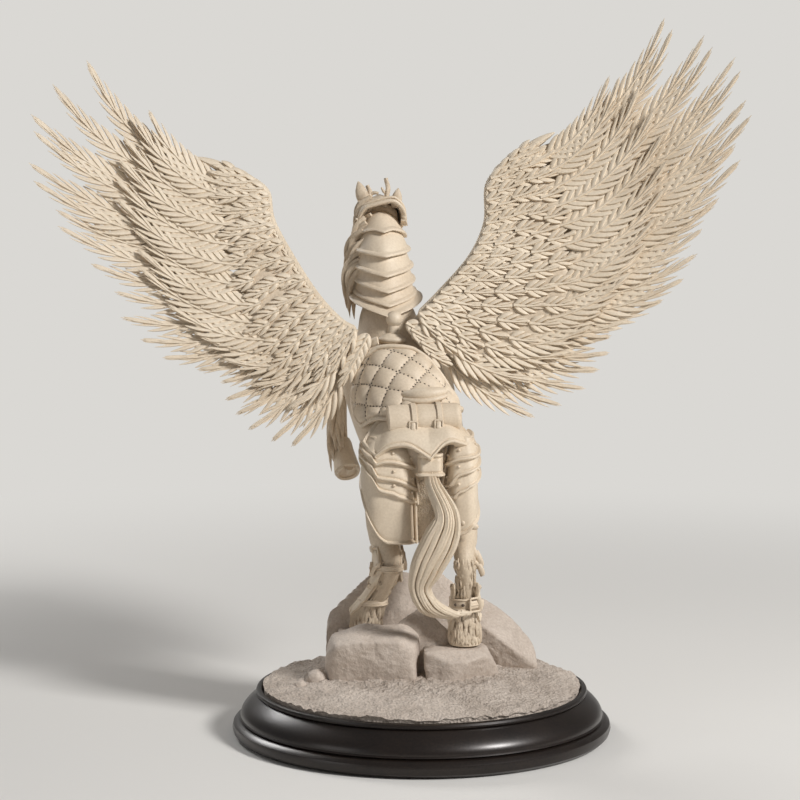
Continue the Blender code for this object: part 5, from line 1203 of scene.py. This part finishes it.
def feather(shape, base, tip, bend, width, pitches, barb_length, start, lift, tilt, height, face, fat):
    """One feather: barbs leave a curved rachis in pairs and all end on one outline, width (1 - t^3.2)^0.8.

    Their pitch grows from base to tip, and tilt raises the barbs of one side over those of the other.
    """
    length = np.linalg.norm(tip - base)
    steps = np.arange(60)
    pitch = pitches[0] + (pitches[1] - pitches[0]) * np.minimum(steps * np.mean(pitches) / length, 1)
    place = start + np.concatenate([[0], np.cumsum(pitch)]) / length
    t = place[place < 0.95 - 0.3 * barb_length / length]
    end = np.minimum(t + barb_length / length * (0.85 + 0.3 * t), 0.985)
    reach = width / 2 * np.clip(1 - end ** 3.2, 0, 1) ** 0.8 * np.clip(0.55 + (end - start) * 2.5, 0, 1)
    line = quill(base, tip, bend, np.stack([t, end]))
    across = left_of(quill(base, tip, bend, np.linspace(0, 1, 50)))
    across = across[np.round(np.stack([t, end]) * 49).astype(int)]
    roots, ends, middles, lifts = [], [], [], []
    for side in (-1, 1):
        stop = line[1] + side * across[1] * reach[:, None]
        roots.append(line[0])
        ends.append(stop)
        middles.append((line[0] + stop) / 2 + side * across[0] * (0.16 * reach + 0.25)[:, None])
        lifts.append(np.stack([0 * t + lift, lift + tilt * side * reach / (width / 2)], axis=-1))
    point = quill(base, tip, bend, np.array([max(t[-1], 0.55), 1.0]))
    roots.append(point[:1])
    ends.append(point[1:])
    middles.append(point.mean(axis=0)[None])
    lifts.append(np.array([[lift + 0.1 * face, lift]]))
    gap = np.gradient(t) * length if len(t) > 1 else np.array([pitches[0]])
    slope = reach / np.hypot(reach, (end - t) * length)
    half = np.clip(0.5 * gap * slope * fat, 0.32 * height, 1.2 * height)
    half = np.concatenate([half, half, [0.8 * half[-1] + 0.2]])
    roots, ends, middles, lifts = (np.concatenate(parts) for parts in (roots, ends, middles, lifts))
    barbs(shape, roots, ends, middles, lifts, half, 0.25 * height + 0.65 * half)
    along = np.linspace(max(0.0, start - 0.1), 0.93, 10)
    spine = quill(base, tip, bend, along)
    turn = np.linspace(0, 2 * math.pi, 6, endpoint=False)
    thick = (0.5 - 0.34 * along)[:, None] * min(1.0, height)
    flat = spine[:, None] + left_of(spine)[:, None] * (thick * np.cos(turn))[..., None]
    shape.tubes(wing_point(flat, lift + face * height * 0.5 + thick * np.sin(turn)))


def vane(shape, base, tip, bend, width, start, lift, thick):
    """Thin web that joins a feather's barbs near the rachis: a blade of 0.42 of the feather's width."""
    t = np.linspace(start, 0.93, 9)
    line = quill(base, tip, bend, t)
    over = left_of(line)
    reach = (0.21 * width * (1 - t ** 2.4) ** 0.9)[:, None]
    corners = [(-1, 0.2), (0, 1.0), (1, 0.2), (1, -0.2), (0, -1.0), (-1, -0.2)]
    rings = [wing_point(line + over * reach * x, lift + thick / 2 * z) for x, z in corners]
    shape.tubes(np.stack(rings, axis=1))


def core_half(chord, place):
    """Half thickness of the wing's arm at a share of its chord and a share along it from tip to root."""
    fat = np.interp(chord, (0, 0.12, 0.45, 0.8, 1.0), (0.35, 0.9, 1.0, 0.8, 0.5))
    return WING_THICKNESS / 2 * fat * (0.6 + 0.45 * place)


def make_wing(side):
    """Wing: smooth arm core, two layers of flight feathers, and rows of plump coverts on both faces.

    The coverts end in a row at the shoulder, and small leaves lie along the leading edge and past its tip.
    """
    wing = WINGS[side]
    outward = -1 if side == "left" else 1
    shape = Shape()
    core = Shape()
    share = np.linspace(0, 1, 48)[:, None]
    arm = smooth(wing["arm"], share[:, 0])
    cover = smooth(wing["cover"], 1 - share[:, 0])
    turn = np.linspace(0, 2 * math.pi, 28, endpoint=False)
    chord = 0.5 - 0.5 * np.cos(turn)
    flat = arm[:, None] + (cover - arm)[:, None] * chord[None, :, None]
    half = core_half(chord[None], 1 - share) * np.clip(np.abs(np.sin(turn)) * 2.2, 0, 1) * ARM_SHARE
    core.tubes(wing_point(flat, half * np.sign(np.sin(turn))))
    for key, start, width, pitches, barb_length, bare, lift in FLIGHTS:
        count = len(wing[key])
        place = (np.arange(count) + start) / (count - 1 + 2 * start)
        bases = smooth(wing["cover"], place)
        tips = np.asarray(wing[key])
        roots = bases + (smooth(wing["arm"], 1 - place) - bases) * ROOT_OVERLAP
        for k in range(count):
            bend = -outward * math.radians(34 - 14 * place[k])
            level = lift + 0.45 * (k % 2)
            feather(shape, roots[k], tips[k], bend, width, pitches, barb_length, bare, level,
                    outward * -0.6, 1.1, 1, 1.25)
            vane(shape, roots[k], tips[k], bend, width, 0.05, level, 0.5)
    for face, rows in COVERT_ROWS.items():
        for row, (centre, count) in enumerate(rows):
            place = (np.arange(count) + 0.5 + 0.4 * (row % 2) - 0.2) / count
            edge = smooth(wing["arm"], 1 - place)
            reach = smooth(wing["cover"], place) - edge
            drift = smooth(wing["tips"], place) - smooth(wing["cover"], place)
            for k in range(count):
                base = edge[k] + reach[k] * max(0.0, centre - 0.17)
                way = unit(0.5 * unit(reach[k]) + unit(drift[k]))
                long = 6.4 + 0.12 * np.linalg.norm(reach[k])
                lift = face * (core_half(centre, place[k]) * ARM_SHARE + 0.45 + 0.25 * (k % 2))
                feather(shape, base, base + way * long, -outward * 0.15, 5.8, COVERT_PITCHES, 5.6, 0.02,
                        lift, 0.3 * outward, 1.45, face, COVERT_FAT)
    heel = wing["cover"][-1] - np.asarray(wing["arm"][0])
    inboard = unit(np.subtract(wing["arm"][0], wing["arm"][1]))
    way = unit(np.subtract(wing["tips"][-1], wing["cover"][-1]) + np.array([4.0, 4.0]) * outward)
    for k, part in enumerate(np.linspace(-0.05, 0.8, 6)):
        base = wing["arm"][0] + heel * part + inboard * 3.2
        feather(shape, base, base + way * (9.5 - 2 * part), -outward * 0.15, 5.4, COVERT_PITCHES, 5.2, 0.02,
                1.9 - 0.3 * part + 0.25 * (k % 2), 0.3 * outward, 1.4, 1, COVERT_FAT)
    t = np.linspace(0.02, 0.95, 56)
    inward = unit(smooth(wing["cover"], 1 - t) - smooth(wing["arm"], t))
    for side_of in (-1, 1):
        roots = smooth(wing["arm"], t) + inward * 0.7
        ends = smooth(wing["arm"], np.minimum(t + 0.05, 1)) + inward * (0.7 + 1.5 * side_of)
        barbs(shape, roots, ends, (roots + ends) / 2, np.tile([1.2, 0.5], (56, 1)), np.full(56, 0.62),
              np.full(56, 1.3))
    last = smooth(wing["arm"], 1.0)
    way = unit(0.35 * unit(wing["cover"][0] - last) + unit(wing["tips"][0] - last))
    reach = np.array([3.0, 7.0, 10.0, 12.0])[:, None]
    roots = smooth(wing["arm"], np.array([0.82, 0.88, 0.94, 1.0]))
    roots = roots + inward[-1] * np.array([[2.4], [1.6], [0.9], [0.6]])
    ends = last + way * reach + inward[-1] * (12 - reach) * 0.25
    barbs(shape, roots, ends, (roots + ends) / 2, np.zeros((4, 2)), np.full(4, 1.3), np.full(4, 1.9))
    dress("feathers_" + side, shape.mesh("feathers"), RESIN_FEATHER, "wing_" + side, 60)
    dress("wing_arm_" + side, core.mesh("arm"), RESIN_HIDE, "wing_" + side, 60)


make_wing("left")
make_wing("right")


# Stage, lights and camera

# Soft lights: name, place in metres, width of the panel, power in watts
LIGHTS = (("key", (0.62, -0.45, 0.62), 0.16, 8.8), ("fill", (-0.85, -0.6, 0.25), 0.45, 0.9),
          ("rim", (-0.5, 0.6, 0.6), 0.25, 3.0))
# Floor and backdrop from the side: places in depth and height in metres
FLOOR_PROFILE = ((-3.0, 0.0), (0.9, 0.0), (1.3, 0.04), (1.6, 0.18), (1.75, 0.5), (1.8, 3.0))


def make_stage():
    """Pale floor that curves up behind into an even pale backdrop, and soft lights.

    The camera sees the backdrop's own pale colour, blended in between 0.2 m and 0.55 m from the figure.
    """
    floor = bpy.data.materials.new("pale_floor")
    floor.use_nodes = True
    tree = floor.node_tree
    shader = tree.nodes["Principled BSDF"]
    shader.inputs["Base Color"].default_value = colour("D9D6D1")
    shader.inputs["Roughness"].default_value = 0.9
    glow = node(tree, "Emission", [("Color", colour("DAD8D4")), ("Strength", 1.0)])
    place = node(tree, "VectorMath", [(0, node(tree, "TexCoord").outputs["Object"])], operation="LENGTH")
    far = node(tree, "MapRange", [("Value", place.outputs["Value"]), ("From Min", 0.2), ("From Max", 0.55)],
               interpolation_type="SMOOTHSTEP").outputs[0]
    camera_ray = node(tree, "LightPath").outputs["Is Camera Ray"]
    seen = node(tree, "Math", [(0, far), (1, camera_ray)], operation="MULTIPLY")
    mix = node(tree, "MixShader", [(0, seen.outputs[0]), (1, shader.outputs[0]), (2, glow.outputs[0])])
    tree.links.new(mix.outputs[0], tree.nodes["Material Output"].inputs["Surface"])
    points = [(x, y, z) for y, z in FLOOR_PROFILE for x in (-3.0, 3.0)]
    faces = [(2 * k, 2 * k + 1, 2 * k + 3, 2 * k + 2) for k in range(len(FLOOR_PROFILE) - 1)]
    mesh = bpy.data.meshes.new("floor")
    mesh.from_pydata(points, [], faces)
    mesh.shade_smooth()
    obj = bpy.data.objects.new("floor", mesh)
    bpy.context.collection.objects.link(obj)
    mesh.materials.append(floor)
    for name, place, size, power in LIGHTS:
        light = bpy.data.lights.new(name, "AREA")
        light.size = size
        light.energy = power
        lamp = bpy.data.objects.new(name, light)
        lamp.location = place
        direction = np.array([0, 0.02, 0.12]) - np.array(place)
        lamp.rotation_euler = (math.atan2(math.hypot(direction[0], direction[1]), -direction[2]), 0,
                               math.atan2(direction[0], -direction[1]) + math.pi)
        bpy.context.collection.objects.link(lamp)
    world = bpy.data.worlds.new("studio")
    world.use_nodes = True
    tree = world.node_tree
    soft = tree.nodes["Background"]
    soft.inputs["Color"].default_value = colour("E8E9EC")
    soft.inputs["Strength"].default_value = 0.22
    pale = node(tree, "Background", [("Color", colour("DAD8D4")), ("Strength", 1.0)])
    camera_ray = node(tree, "LightPath").outputs["Is Camera Ray"]
    mix = node(tree, "MixShader", [(0, camera_ray), (1, soft.outputs[0]), (2, pale.outputs[0])])
    tree.links.new(mix.outputs[0], tree.nodes["World Output"].inputs["Surface"])
    bpy.context.scene.world = world


CAMERA_PLACE = (-6.83 * MM, -762.4 * MM, 190.4 * MM)
CAMERA_DROP = 6.31
LENS_MM = 110


def make_camera():
    """Camera behind the horse, looking slightly down, as in the photo."""
    data = bpy.data.cameras.new("camera")
    data.lens = LENS_MM
    data.sensor_width = 36
    data.clip_start = 0.01
    camera = bpy.data.objects.new("camera", data)
    camera.location = CAMERA_PLACE
    camera.rotation_euler = (math.radians(90 - CAMERA_DROP), 0, 0)
    bpy.context.collection.objects.link(camera)
    bpy.context.scene.camera = camera


make_stage()
make_camera()
bpy.context.scene.view_settings.view_transform = "Standard"
# The solids that the pieces stand for have the same finishes
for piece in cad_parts.values():
    piece.data.materials.clear()
    piece.data.materials.append(LACQUER if piece.name == "plinth" else RESIN)
